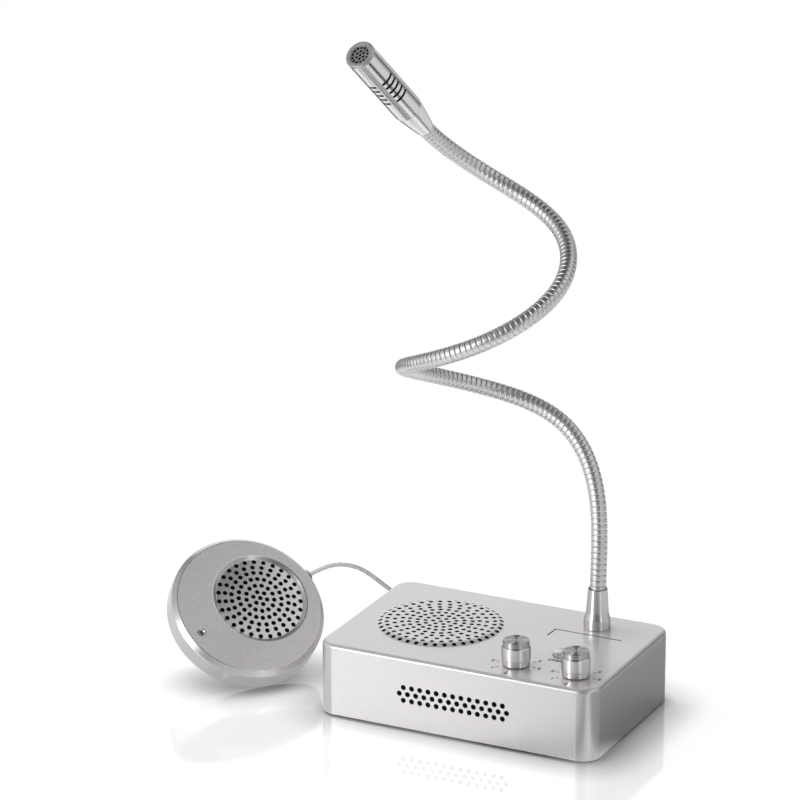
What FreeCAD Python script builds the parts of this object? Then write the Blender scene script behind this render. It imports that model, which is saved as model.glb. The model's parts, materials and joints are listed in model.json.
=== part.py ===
import FreeCAD, Part
import math
import operator
import os
from types import SimpleNamespace

import Sketcher
from FreeCAD import Placement, Rotation, Vector

# Teller window intercom: a counter unit with a speaker, two volume knobs, a power button and a
# microphone on a flexible neck, and a round pod for the customer's side of the glass, on a thin cord.
# Millimetres, +Z up, the counter at z = 0. The pieces of the counter unit are drawn from the middle of
# its footprint, those of the pod from the middle of its back, and those of the microphone head from
# the end of the neck.

SIZES = {
    # Middle of the counter unit's footprint
    "unit_x": 53.0,
    "unit_y": -5.0,
    # Overrun of every cutting tool past the face that it cuts
    "cut_overrun": 1.0,
    # Case of the counter unit, pressed from steel sheet
    "case_length": 165.0,
    "case_width": 107.3,
    "case_height": 40.6,
    "case_wall": 1.5,
    "case_corner_radius": 10.4,
    "case_top_radius": 2.3,
    # Raised speaker grille on the deck
    "grille_inset": 49.0,
    "grille_y": 1.5,
    "grille_rise": 1.2,
    "grille_flat_radius": 31.5,
    "grille_foot_radius": 35.5,
    "grille_field_radius": 33.5,
    "grille_hole_radius": 1.3,
    # Rows of holes in the front wall
    "front_hole_radius": 1.5,
    "front_hole_pitch": 4.92,
    "front_row_pitch": 3.75,
    "front_row_height": 20.85,
    # Base plate, its feet, screws and pillars
    "foot_height": 1.0,
    "foot_radius": 6.0,
    "foot_inset_x": 22.5,
    "foot_inset_y": 17.65,
    "base_thickness": 1.5,
    "base_gap": 0.2,
    "pillar_radius": 3.5,
    "pillar_inset": 9.5,
    "base_screw_radius": 1.45,
    "base_screw_head_radius": 2.7,
    "base_screw_head_depth": 1.25,
    "base_screw_length": 9.0,
    "base_screw_play": 0.05,
    "base_screw_clearance": 0.15,
    # Dust cloth behind the holes
    "cloth_thickness": 0.4,
    "grille_cloth_margin": 4.0,
    "front_cloth_length": 70.0,
    "front_cloth_height": 12.0,
    # Speaker under the grille
    "speaker_flange_length": 76.0,
    "speaker_flange_corner": 8.0,
    "speaker_flange_thickness": 1.5,
    "speaker_opening_radius": 34.0,
    "basket_mouth_radius": 33.0,
    "basket_wall": 1.2,
    "basket_shoulder": 4.0,
    "basket_floor_radius": 20.0,
    "basket_floor_hole_radius": 13.0,
    "basket_depth": 17.2,
    "cone_edge_gap": 0.2,
    "cone_edge_width": 3.8,
    "cone_thickness": 0.5,
    "voice_coil_radius": 8.9,
    "voice_coil_length": 12.0,
    "cone_depth": 12.0,
    "dust_cap_radius": 9.3,
    "dust_cap_rise": 3.0,
    "dust_cap_lift": 1.05,
    "magnet_height": 12.0,
    "magnet_plate_radius": 20.0,
    "magnet_ring_radius": 22.0,
    "magnet_plate_thickness": 2.5,
    "magnet_ring_bore_radius": 12.0,
    "pole_radius": 8.0,
    "pole_gap_radius": 9.3,
    "speaker_stud_offset": 33.0,
    "speaker_stud_radius": 1.5,
    "speaker_stud_length": 9.1,
    "speaker_stud_clearance": 0.2,
    "speaker_nut_across": 5.5,
    "speaker_nut_height": 2.4,
    "nut_play": 0.05,
    # Amplifier board on snap-in spacers
    "board_length": 54.0,
    "board_side_gap": 13.0,
    "board_front_gap": 18.15,
    "board_rear_gap": 22.15,
    "board_thickness": 1.6,
    "spacer_radius": 2.5,
    "spacer_height": 6.0,
    "spacer_peg_radius": 1.4,
    "spacer_peg_rise": 0.8,
    "spacer_peg_play": 0.05,
    "spacer_inset": 4.0,
    "heat_sink_inset": 6.0,
    "heat_sink_length": 30.0,
    "heat_sink_depth": 12.0,
    "heat_sink_height": 18.0,
    "heat_sink_back": 2.0,
    "heat_sink_fin": 1.2,
    "heat_sink_fins": 6,
    "capacitor_radius": 5.0,
    "capacitor_height": 16.0,
    "capacitor_inset_x": 8.0,
    "capacitor_inset_y": 10.0,
    "capacitor_pitch": 13.0,
    # Volume controls: one for the inner and one for the outer speaker
    "outer_knob_inset": 18.6,
    "knob_pitch": 35.2,
    "knob_front_inset": 18.95,
    "pot_radius": 8.25,
    "pot_depth": 9.0,
    "pot_floor": 1.5,
    "bushing_radius": 3.5,
    "bushing_rise": 2.6,
    "bushing_clearance": 0.15,
    "pot_nut_across": 10.0,
    "pot_nut_height": 2.0,
    "shaft_radius": 3.0,
    "shaft_play": 0.05,
    "shaft_end_gap": 0.3,
    "knob_gap": 0.6,
    "knob_radius": 8.0,
    "knob_skirt_inset": 0.4,
    "knob_skirt_height": 3.0,
    "knob_bevel": 0.4,
    "knob_height": 10.8,
    "knob_shoulder_radius": 6.9,
    "knob_shoulder_height": 0.4,
    "knob_recess_radius": 6.2,
    "knob_recess_depth": 3.2,
    "knob_bore_depth": 9.5,
    "knob_bore_play": 0.03,
    "knob_cap_radius": 7.3,
    "knob_cap_thickness": 2.5,
    "knob_cap_bevel": 0.3,
    # Power button and the switch that it presses
    "button_inset": 36.0,
    "button_knob_gap": 23.7,
    "button_radius": 6.0,
    "button_rise": 2.3,
    "button_bevel": 0.5,
    "button_height": 5.8,
    "button_clearance": 0.3,
    "button_stem_radius": 2.0,
    "button_stem_length": 4.4,
    "button_travel": 1.5,
    "button_stop_gap": 0.2,
    "switch_radius": 9.0,
    "switch_depth": 10.1,
    "switch_well_depth": 5.1,
    "switch_stem_play": 0.2,
    # Sockets in the rear wall
    "power_jack_inset": 22.5,
    "power_jack_z": 14.0,
    "power_jack_length": 14.0,
    "power_jack_width": 10.0,
    "power_jack_nose_radius": 4.2,
    "power_jack_bore_radius": 2.85,
    "power_jack_bore_depth": 10.0,
    "power_jack_pin_radius": 1.05,
    "jack_pitch": 40.0,
    "pod_jack_z": 10.0,
    "pod_jack_length": 15.0,
    "pod_jack_width": 9.0,
    "pod_jack_nose_radius": 3.2,
    "pod_jack_bore_radius": 1.8,
    "pod_jack_bore_depth": 15.0,
    "jack_nose_clearance": 0.1,
    "jack_nose_setback": 0.2,
    # Ferrule that carries the neck, its washer and nut under the deck
    "neck_inset": 36.4,
    "neck_rear_inset": 19.55,
    "ferrule_wire_radius": 2.5,
    "ferrule_thread_radius": 4.9,
    "ferrule_thread_length": 8.0,
    "ferrule_foot_radius": 7.45,
    "ferrule_foot_height": 5.7,
    "ferrule_waist_radius": 6.3,
    "ferrule_waist_height": 9.5,
    "ferrule_top_radius": 5.5,
    "ferrule_height": 23.0,
    "ferrule_socket_depth": 11.0,
    "ferrule_socket_play": 0.45,
    "ferrule_hole_clearance": 0.2,
    "neck_washer_radius": 9.0,
    "neck_washer_thickness": 1.0,
    "neck_nut_across": 14.0,
    "neck_nut_height": 4.0,
    # Flexible neck: how far it swings sideways, how far it rises, and its ribbed hose
    "neck_sway": 100.0,
    "neck_rise": 268.7,
    "hose_crest_radius": 4.55,
    "hose_valley_radius": 4.1,
    "hose_bore_radius": 3.0,
    "hose_rib_pitch": 3.1,
    "hose_bore_step": 6.0,
    "hose_ball_radius": 4.05,
    "hose_socket_radius": 4.35,
    "hose_joint_gap": 1.9,
    # Microphone head
    "mic_hose_depth": 3.5,
    "mic_mouth_bevel_radius": 5.1,
    "mic_socket_radius": 4.75,
    "mic_socket_depth": 3.8,
    "mic_radius": 8.05,
    "mic_wall": 0.95,
    "mic_taper_length": 21.0,
    "mic_spigot_length": 5.0,
    "mic_spigot_play": 0.1,
    "mic_tube_length": 55.5,
    "mic_slot_width": 1.8,
    "mic_slot_pitch": 4.3,
    "mic_slot_start": 39.3,
    "mic_slot_arc": 67.0,
    "mic_slot_turn": 31.0,
    "mic_slot_rows": 5,
    "mic_slot_columns": 4,
    "mic_foam_radius": 6.9,
    "mic_foam_wall": 0.7,
    "mic_foam_margin": 3.0,
    "mic_face_thickness": 1.5,
    "mic_face_edge": 0.7,
    "mic_face_bevel": 0.75,
    "mic_face_plug": 1.0,
    "mic_face_rim_radius": 5.6,
    "mic_face_recess_radius": 5.4,
    "mic_face_recess_depth": 1.0,
    "mic_face_hole_radius": 0.7,
    "mic_face_field_radius": 4.4,
    "mic_capsule_radius": 4.9,
    "mic_capsule_length": 6.0,
    # Customer's pod, leaning back on its rim
    "pod_x": -97.4,
    "pod_y": -16.1,
    "pod_heading": 50.7,
    "pod_tilt": 48.7,
    "pod_radius": 44.0,
    "pod_face_radius": 41.3,
    "pod_bevel_depth": 2.8,
    "pod_depth": 14.2,
    "pod_wall": 1.5,
    "pod_face_thickness": 2.7,
    "pod_grille_x": 7.8,
    "pod_grille_y": 3.4,
    "pod_recess_mouth_radius": 26.9,
    "pod_recess_floor_radius": 25.0,
    "pod_recess_depth": 1.5,
    "pod_dome_rise": 1.4,
    "pod_field_radius": 23.7,
    "pod_hole_radius": 1.35,
    "pod_mic_x": -32.5,
    "pod_mic_y": -11.4,
    "pod_mic_hole_radius": 1.5,
    "pod_mic_sink_radius": 2.3,
    "pod_mic_sink_depth": 0.8,
    "pod_mic_radius": 3.0,
    "pod_mic_length": 5.0,
    "pod_boss_radius": 3.0,
    "pod_boss_circle": 38.5,
    "pod_boss_turn": 50.0,
    "pod_screw_radius": 1.2,
    "pod_screw_head_radius": 2.2,
    "pod_screw_head_depth": 1.0,
    "pod_screw_length": 8.0,
    "pod_screw_play": 0.05,
    "pod_cover_gap": 0.2,
    "pod_cover_thickness": 1.5,
    "pod_pad_radius": 38.0,
    "pod_pad_thickness": 1.0,
    "pod_cloth_radius": 25.5,
    "pod_speaker_radius": 26.0,
    "pod_speaker_flange": 1.0,
    "pod_basket_mouth_radius": 21.0,
    "pod_basket_wall": 1.0,
    "pod_basket_shoulder": 2.0,
    "pod_basket_floor_radius": 12.0,
    "pod_basket_floor_hole_radius": 5.0,
    "pod_basket_depth": 5.2,
    "pod_magnet_radius": 11.0,
    "pod_magnet_height": 2.9,
    "pod_magnet_floor": 1.2,
    "pod_pole_radius": 4.0,
    "pod_pole_gap_radius": 4.9,
    "pod_pole_rise": 0.5,
    "pod_voice_coil_radius": 4.7,
    "pod_cone_depth": 3.8,
    "pod_voice_coil_length": 2.7,
    "pod_cone_thickness": 0.3,
    "pod_cone_edge_width": 2.2,
    # Cord gland in the pod's wall
    "gland_turn": 20.5,
    "gland_height": 6.2,
    "gland_radius": 3.6,
    "gland_length": 2.5,
    "gland_neck_radius": 2.6,
    "gland_neck_length": 2.5,
    "gland_clearance": 0.1,
    # Cord, its wound length, tie and plug
    "cord_radius": 1.3,
    "coil_x": 10.0,
    "coil_y": 75.0,
    "coil_outer_radius": 20.2,
    "coil_pitch": 3.1,
    "coil_lift": 0.8,
    "tie_width": 6.0,
    "tie_thickness": 0.6,
    "tie_side_gap": 0.3,
    "tie_turn": 200.0,
    "plug_gap": 0.2,
    "plug_radius": 4.5,
    "plug_length": 18.0,
    "plug_bevel": 0.8,
    "plug_relief_length": 6.0,
    "plug_relief_radius": 3.2,
    "plug_relief_end_radius": 2.0,
    "plug_pin_radius": 1.75,
    "plug_pin_length": 14.0,
}

OPERATORS = {"+": operator.add, "-": operator.sub, "*": operator.mul, "/": operator.truediv}


def formula(value):
    """Give a value as sheet formula text."""
    return getattr(value, "text", repr(float(value)))


def joined(left, sign, right):
    """Work out two values and keep the formula beside the result."""
    text = "(" + formula(left) + " " + sign + " " + formula(right) + ")"
    return Size(OPERATORS[sign](float(left), float(right)), text)


class Size(float):
    """A number that remembers the sheet formula that it comes from."""

    def __new__(cls, value, text):
        size = float.__new__(cls, value)
        size.text = text
        return size

    def __add__(self, other):
        return joined(self, "+", other)

    def __radd__(self, other):
        return joined(other, "+", self)

    def __sub__(self, other):
        return joined(self, "-", other)

    def __rsub__(self, other):
        return joined(other, "-", self)

    def __mul__(self, other):
        return joined(self, "*", other)

    def __rmul__(self, other):
        return joined(other, "*", self)

    def __truediv__(self, other):
        return joined(self, "/", other)

    def __neg__(self):
        return joined(0, "-", self)


doc = FreeCAD.newDocument("TellerIntercom")
sheet = doc.addObject("Spreadsheet::Sheet", "Sizes")
for row, (alias, value) in enumerate(SIZES.items(), start=1):
    sheet.set("A%d" % row, alias)
    sheet.set("B%d" % row, str(value))
    sheet.setAlias("B%d" % row, alias)
doc.recompute()
S = SimpleNamespace(**{alias: Size(sheet.get(alias), "Sizes." + alias) for alias in SIZES})

UP = Vector(0, 0, 1)
REARWARD = Vector(0, 1, 0)
parts = []


def bind(thing, name, size):
    """Set a property from the sheet, or plainly when nothing in the sheet drives it."""
    if isinstance(size, Size):
        thing.setExpression(name, size.text)
    elif size:
        thing.setExpression(name, repr(float(size)))


def place(thing, x=0, y=0, z=0):
    """Bind an object's place, keeping the way it is turned."""
    for axis, size in zip("xyz", (x, y, z)):
        bind(thing, "Placement.Base." + axis, size)


def keep(piece, name, x=0, y=0, z=0):
    """Name a sub-part of the counter unit, stand it in its place and list it for export."""
    piece.Label = name
    place(piece, S.unit_x + x, S.unit_y + y, z)
    parts.append(piece)


def keep_in(frame, piece, name, x=0, y=0):
    """Name a sub-part that is drawn in a frame of its own, move it there and list it for export."""
    piece.Label = name
    piece.Placement = frame * Placement(Vector(x, y, 0), Rotation())
    parts.append(piece)


def primitive(kind, x=0, y=0, z=0, turn=None, **sizes):
    """Make a Part primitive at a place, each of its sizes bound to the sheet."""
    solid = doc.addObject("Part::" + kind, kind.lower())
    for name, size in sizes.items():
        bind(solid, name, size)
    if turn:
        solid.Placement = Placement(Vector(), turn)
    place(solid, x, y, z)
    return solid


def cut(name, base, *tools):
    """Take tools away from a solid."""
    result = doc.addObject("Part::Cut", name)
    result.Base = base
    result.Tool = tools[0] if len(tools) == 1 else group(name + "_tools", tools)
    return result


def fuse(name, solids):
    """Join solids that touch into one."""
    result = doc.addObject("Part::MultiFuse", name)
    result.Shapes = list(solids)
    return result


def group(name, solids):
    """Hold like solids together without joining them."""
    result = doc.addObject("Part::Compound", name)
    result.Links = list(solids)
    return result


def feature(name, shape):
    """Hold a shape worked out from the sheet's sizes."""
    result = doc.addObject("Part::Feature", name)
    result.Shape = shape
    return result


def origin_plane(body, role):
    """Find one of a body's own base planes."""
    return next(plane for plane in body.Origin.OriginFeatures if plane.Role == role)


def outline_sketch(body, role, points):
    """Draw a closed outline on a base plane, with every corner tied to the sheet."""
    sketch = body.newObject("Sketcher::SketchObject", body.Name + "_outline")
    sketch.AttachmentSupport = [(origin_plane(body, role), "")]
    sketch.MapMode = "FlatFace"
    corners = [Vector(float(x), float(y), 0) for x, y in points]
    for start, end in zip(corners, corners[1:] + corners[:1]):
        sketch.addGeometry(Part.LineSegment(start, end), False)
    for line in range(len(points)):
        sketch.addConstraint(Sketcher.Constraint("Coincident", line, 2, (line + 1) % len(points), 1))
    for line, corner in enumerate(points):
        for kind, size, axis in (("DistanceX", corner[0], -2), ("DistanceY", corner[1], -1)):
            if size == 0:
                sketch.addConstraint(Sketcher.Constraint("PointOnObject", line, 1, axis))
                continue
            at = sketch.addConstraint(Sketcher.Constraint(kind, -1, 1, line, 1, float(size)))
            sketch.setExpression("Constraints[%d]" % at, formula(size))
    return sketch


def lathe(name, *points):
    """Turn an outline of (radius, height) corners about the vertical axis."""
    body = doc.addObject("PartDesign::Body", name)
    sketch = outline_sketch(body, "XZ_Plane", points)
    turned = body.newObject("PartDesign::Revolution", name + "_turned")
    turned.Profile = sketch
    turned.ReferenceAxis = (sketch, ["V_Axis"])
    turned.Angle = 360
    return body


def padded(name, length, width, height):
    """Pad a rectangle that lies centred on the body's origin."""
    body = doc.addObject("PartDesign::Body", name)
    corners = [(-length / 2, -width / 2), (length / 2, -width / 2), (length / 2, width / 2),
               (-length / 2, width / 2)]
    pad = body.newObject("PartDesign::Pad", name + "_pad")
    pad.Profile = outline_sketch(body, "XY_Plane", corners)
    bind(pad, "Length", height)
    doc.recompute()
    return body, pad


def rounded(body, base, name, radius, wanted):
    """Round the edges of a body's last feature that the test picks."""
    fillet = body.newObject("PartDesign::Fillet", name)
    edges = ["Edge%d" % number for number, edge in enumerate(base.Shape.Edges, start=1) if wanted(edge)]
    fillet.Base = (base, edges)
    bind(fillet, "Radius", radius)
    doc.recompute()
    return fillet


def upright(edge):
    """Tell whether an edge runs straight up."""
    ends = [vertex.Point for vertex in edge.Vertexes]
    return len(ends) == 2 and ends[0].sub(ends[1]).cross(UP).Length < edge.Length / 1000


def level_with(height):
    """Make a test for edges that lie at a height."""
    return lambda edge: all(abs(vertex.Z - height) < height / 1000 for vertex in edge.Vertexes)


def hex_nut(name, across, height, hole, x, y, z):
    """Make a hexagon nut with a round bore."""
    blank = primitive("Prism", x, y, z, Polygon=6, Circumradius=across / math.sqrt(3), Height=height)
    return cut(name, blank, primitive("Cylinder", x, y, z, Radius=hole, Height=height))


def ring_points(field_radius, radius_shares, counts, turns):
    """Place holes on rings round a middle, each ring turned by its own angle."""
    for share, count, turn in zip(radius_shares, counts, turns):
        for number in range(count):
            angle = math.radians(turn + 360 * number / count)
            yield field_radius * share * math.cos(angle), field_radius * share * math.sin(angle)


def corners_of(x, y):
    """Give the four corners of a centred rectangle by its half sizes."""
    return [(-x, -y), (x, -y), (x, y), (-x, y)]


# Heights and walls of the counter unit
deck = S.foot_height + S.case_height
deck_under = deck - S.case_wall
base_top = S.foot_height + S.base_thickness
rear_face = S.case_width / 2
rear_inside = rear_face - S.case_wall
side_inside = S.case_length / 2 - S.case_wall

# Places on the counter unit, each measured from the wall or the piece that it keeps by
grille_x = S.grille_inset - S.case_length / 2
outer_knob_x = S.case_length / 2 - S.outer_knob_inset
inner_knob_x = outer_knob_x - S.knob_pitch
knob_y = S.knob_front_inset - S.case_width / 2
button_x = S.case_length / 2 - S.button_inset
button_y = knob_y + S.button_knob_gap
neck_x = S.case_length / 2 - S.neck_inset
neck_y = S.case_width / 2 - S.neck_rear_inset
power_jack_x = S.case_length / 2 - S.power_jack_inset
pod_jack_x = power_jack_x - S.jack_pitch
board_x = side_inside - S.board_side_gap - S.board_length
board_y = S.board_front_gap - rear_inside
board_width = 2 * rear_inside - S.board_front_gap - S.board_rear_gap
heat_sink_x = board_x + S.heat_sink_inset
heat_sink_y = board_y + board_width - S.heat_sink_inset - S.heat_sink_depth
capacitor_x = board_x + S.capacitor_inset_x
capacitor_y = board_y + S.capacitor_inset_y

# Rings of holes of the big grille, from the middle out: shares of the field's radius, holes in each
# ring, and the angle of a ring's first hole
GRILLE_RADIUS_SHARES = (0, 0.131, 0.257, 0.388, 0.522, 0.639, 0.761, 0.89, 1)
GRILLE_COUNTS = (1, 6, 13, 20, 24, 24, 27, 36, 40)
GRILLE_TURNS = (0, 12.9, 1.1, 12.9, 11.1, 12, 10.6, 6.2, 2)
FRONT_ROWS = ((1, 13), (0, 14), (-1, 13))


def make_top_housing():
    """Deep-drawn cover with its raised grille, its holes and the openings for the controls."""
    body, pad = padded("housing_blank", S.case_length, S.case_width, S.case_height)
    sides = rounded(body, pad, "housing_corners", S.case_corner_radius, upright)
    top = rounded(body, sides, "housing_top_edge", S.case_top_radius, level_with(S.case_height))
    shell = body.newObject("PartDesign::Thickness", "housing_shell")
    faces = enumerate(top.Shape.Faces, start=1)
    open_faces = ["Face%d" % number for number, face in faces if face.BoundBox.ZMax < S.cut_overrun]
    shell.Base = (top, open_faces)
    bind(shell, "Value", S.case_wall)
    shell.Reversed = True
    doc.recompute()
    raised = body.newObject("PartDesign::AdditiveCone", "grille_raised")
    bind(raised, "Radius1", S.grille_foot_radius)
    bind(raised, "Radius2", S.grille_flat_radius)
    bind(raised, "Height", S.grille_rise)
    place(raised, grille_x, S.grille_y, S.case_height)
    place(body, z=S.foot_height)

    drills = []
    low = deck_under - S.cut_overrun
    deep = S.case_wall + S.grille_rise + 2 * S.cut_overrun
    holes = ring_points(S.grille_field_radius, GRILLE_RADIUS_SHARES, GRILLE_COUNTS, GRILLE_TURNS)
    for x, y in holes:
        spot = Vector(grille_x + x, S.grille_y + y, low)
        drills.append(Part.makeCylinder(S.grille_hole_radius, deep, spot))
    for row, count in FRONT_ROWS:
        for number in range(count):
            across = (number - (count - 1) / 2) * S.front_hole_pitch
            height = S.front_row_height + row * S.front_row_pitch
            spot = Vector(across, -rear_face - S.cut_overrun, height)
            through = S.case_wall + 2 * S.cut_overrun
            drills.append(Part.makeCylinder(S.front_hole_radius, through, spot, REARWARD))
    deck_holes = (
        (S.bushing_radius + S.bushing_clearance, inner_knob_x, knob_y),
        (S.bushing_radius + S.bushing_clearance, outer_knob_x, knob_y),
        (S.button_radius + S.button_clearance, button_x, button_y),
        (S.ferrule_thread_radius + S.ferrule_hole_clearance, neck_x, neck_y),
    )
    for radius, x, y in deck_holes:
        drills.append(Part.makeCylinder(radius, deep, Vector(x, y, low)))
    rear_holes = (
        (S.power_jack_nose_radius, power_jack_x, S.power_jack_z),
        (S.pod_jack_nose_radius, pod_jack_x, S.pod_jack_z),
    )
    for radius, x, z in rear_holes:
        spot = Vector(x, rear_inside - S.cut_overrun, z)
        drills.append(Part.makeCylinder(radius + S.jack_nose_clearance, deep, spot, REARWARD))
    return cut("top_housing", body, feature("housing_drills", Part.makeCompound(drills)))


def pillar_spots():
    """Places of the four pillars that the base is screwed to."""
    return corners_of(S.case_length / 2 - S.pillar_inset, S.case_width / 2 - S.pillar_inset)


def spacer_spots():
    """Places of the board's four spacers."""
    left, right = board_x + S.spacer_inset, board_x + S.board_length - S.spacer_inset
    front, rear = board_y + S.spacer_inset, board_y + board_width - S.spacer_inset
    return [(left, front), (right, front), (right, rear), (left, rear)]


def make_base_plate():
    """Flat plate that closes the case from below, countersunk for its screws."""
    play = 2 * (S.case_wall + S.base_gap)
    body, pad = padded("base_blank", S.case_length - play, S.case_width - play, S.base_thickness)
    rounded(body, pad, "base_corners", S.case_corner_radius - S.case_wall - S.base_gap, upright)
    place(body, z=S.foot_height)
    hole = S.base_screw_radius + S.base_screw_clearance
    sink = S.base_screw_head_radius + S.base_screw_clearance
    tools = []
    for x, y in pillar_spots():
        tools.append(primitive("Cylinder", x, y, S.foot_height, Radius=hole, Height=S.base_thickness))
        tools.append(primitive("Cone", x, y, S.foot_height, Radius1=sink, Radius2=hole,
                               Height=S.base_screw_head_depth))
    return cut("base_plate", body, *tools)


def make_base_screws():
    """Countersunk screws from below into the pillars."""
    screws = []
    for number, (x, y) in enumerate(pillar_spots(), start=1):
        head = primitive("Cone", x, y, S.foot_height, Radius1=S.base_screw_head_radius,
                         Radius2=S.base_screw_radius, Height=S.base_screw_head_depth)
        shank = primitive("Cylinder", x, y, S.foot_height, Radius=S.base_screw_radius,
                          Height=S.base_screw_length)
        screws.append(fuse("base_screw_%d" % number, [head, shank]))
    return group("base_screws", screws)


def make_case_pillars():
    """Threaded pillars welded under the deck in the case's corners."""
    pillars = []
    bore = S.base_screw_radius + S.base_screw_play
    for number, (x, y) in enumerate(pillar_spots(), start=1):
        post = primitive("Cylinder", x, y, base_top, Radius=S.pillar_radius, Height=deck_under - base_top)
        hole = primitive("Cylinder", x, y, base_top, Radius=bore, Height=S.base_screw_length)
        pillars.append(cut("case_pillar_%d" % number, post, hole))
    return group("case_pillars", pillars)


def make_rubber_feet():
    """Flat stick-on feet."""
    spots = corners_of(S.case_length / 2 - S.foot_inset_x, S.case_width / 2 - S.foot_inset_y)
    feet = [primitive("Cylinder", x, y, Radius=S.foot_radius, Height=S.foot_height) for x, y in spots]
    return group("rubber_feet", feet)


def make_case():
    """Case, base and dust cloths of the counter unit."""
    keep(make_top_housing(), "top_housing")
    keep(make_base_plate(), "base_plate")
    keep(make_base_screws(), "base_screws")
    keep(make_case_pillars(), "case_pillars")
    keep(make_rubber_feet(), "rubber_feet")
    cloth = primitive("Cylinder", Radius=S.grille_field_radius + S.grille_cloth_margin,
                      Height=S.cloth_thickness)
    keep(cloth, "grille_cloth", grille_x, S.grille_y, deck_under - S.cloth_thickness)
    strip = primitive("Box", Length=S.front_cloth_length, Width=S.cloth_thickness,
                      Height=S.front_cloth_height)
    keep(strip, "front_cloth", -S.front_cloth_length / 2, -rear_inside,
         S.front_row_height - S.front_cloth_height / 2)


def make_speaker_frame(seat):
    """Square flange with rounded corners, and the basket that hangs from it."""
    body, pad = padded("speaker_flange", S.speaker_flange_length, S.speaker_flange_length,
                       S.speaker_flange_thickness)
    rounded(body, pad, "speaker_flange_corners", S.speaker_flange_corner, upright)
    place(body, z=seat)
    opening = primitive("Cylinder", z=seat, Radius=S.speaker_opening_radius,
                        Height=S.speaker_flange_thickness)
    holes = [primitive("Cylinder", x, y, seat, Radius=S.speaker_stud_radius + S.speaker_stud_clearance,
                       Height=S.speaker_flange_thickness)
             for x, y in corners_of(S.speaker_stud_offset, S.speaker_stud_offset)]
    flange = cut("speaker_flange_ring", body, opening, *holes)
    floor = seat - S.basket_depth
    basket = lathe(
        "speaker_basket",
        (S.basket_mouth_radius + S.basket_shoulder, seat),
        (S.basket_floor_radius, floor),
        (S.basket_floor_hole_radius, floor),
        (S.basket_floor_hole_radius, floor + S.basket_wall),
        (S.basket_floor_radius - S.basket_wall, floor + S.basket_wall),
        (S.basket_mouth_radius, seat),
    )
    return fuse("speaker_frame", [flange, basket])


def make_speaker():
    """Loudspeaker under the grille, held by four studs and nuts."""
    seat = deck_under - S.cloth_thickness - S.speaker_flange_thickness
    spot = (grille_x, S.grille_y)
    keep(make_speaker_frame(seat), "speaker_frame", *spot)

    low = seat - S.basket_depth - S.magnet_height
    lower_plate = low + S.magnet_plate_thickness
    upper_plate = low + S.magnet_height - S.magnet_plate_thickness
    top = low + S.magnet_height
    magnet = lathe(
        "speaker_magnet",
        (0, low),
        (S.magnet_plate_radius, low),
        (S.magnet_plate_radius, lower_plate),
        (S.magnet_ring_radius, lower_plate),
        (S.magnet_ring_radius, upper_plate),
        (S.magnet_plate_radius, upper_plate),
        (S.magnet_plate_radius, top),
        (S.pole_gap_radius, top),
        (S.pole_gap_radius, upper_plate),
        (S.magnet_ring_bore_radius, upper_plate),
        (S.magnet_ring_bore_radius, lower_plate),
        (S.pole_radius, lower_plate),
        (S.pole_radius, top),
        (0, top),
    )
    keep(magnet, "speaker_magnet", *spot)

    edge = S.speaker_opening_radius - S.cone_edge_gap
    throat = seat - S.cone_depth
    cone = lathe(
        "speaker_cone",
        (S.voice_coil_radius - S.cone_thickness, throat - S.voice_coil_length),
        (S.voice_coil_radius, throat - S.voice_coil_length),
        (S.voice_coil_radius, throat),
        (edge - S.cone_edge_width, seat),
        (edge, seat),
        (edge, seat + S.cone_thickness),
        (edge - S.cone_edge_width, seat + S.cone_thickness),
        (S.voice_coil_radius - S.cone_thickness, throat + S.cone_thickness),
    )
    keep(cone, "speaker_cone", *spot)

    sphere = (S.dust_cap_radius * S.dust_cap_radius / S.dust_cap_rise + S.dust_cap_rise) / 2
    cap = primitive("Sphere", Radius=sphere)
    cap.Angle1 = math.degrees(math.asin((sphere - S.dust_cap_rise) / sphere))
    keep(cap, "speaker_dust_cap", *spot, throat + S.dust_cap_lift - sphere + S.dust_cap_rise)

    corners = corners_of(S.speaker_stud_offset, S.speaker_stud_offset)
    studs = [primitive("Cylinder", x, y, deck_under - S.speaker_stud_length, Radius=S.speaker_stud_radius,
                       Height=S.speaker_stud_length) for x, y in corners]
    keep(group("speaker_studs", studs), "speaker_studs", *spot)
    nuts = [hex_nut("speaker_nut_%d" % number, S.speaker_nut_across, S.speaker_nut_height,
                    S.speaker_stud_radius + S.nut_play, x, y, seat - S.speaker_nut_height)
            for number, (x, y) in enumerate(corners, start=1)]
    keep(group("speaker_nuts", nuts), "speaker_nuts", *spot)


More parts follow.
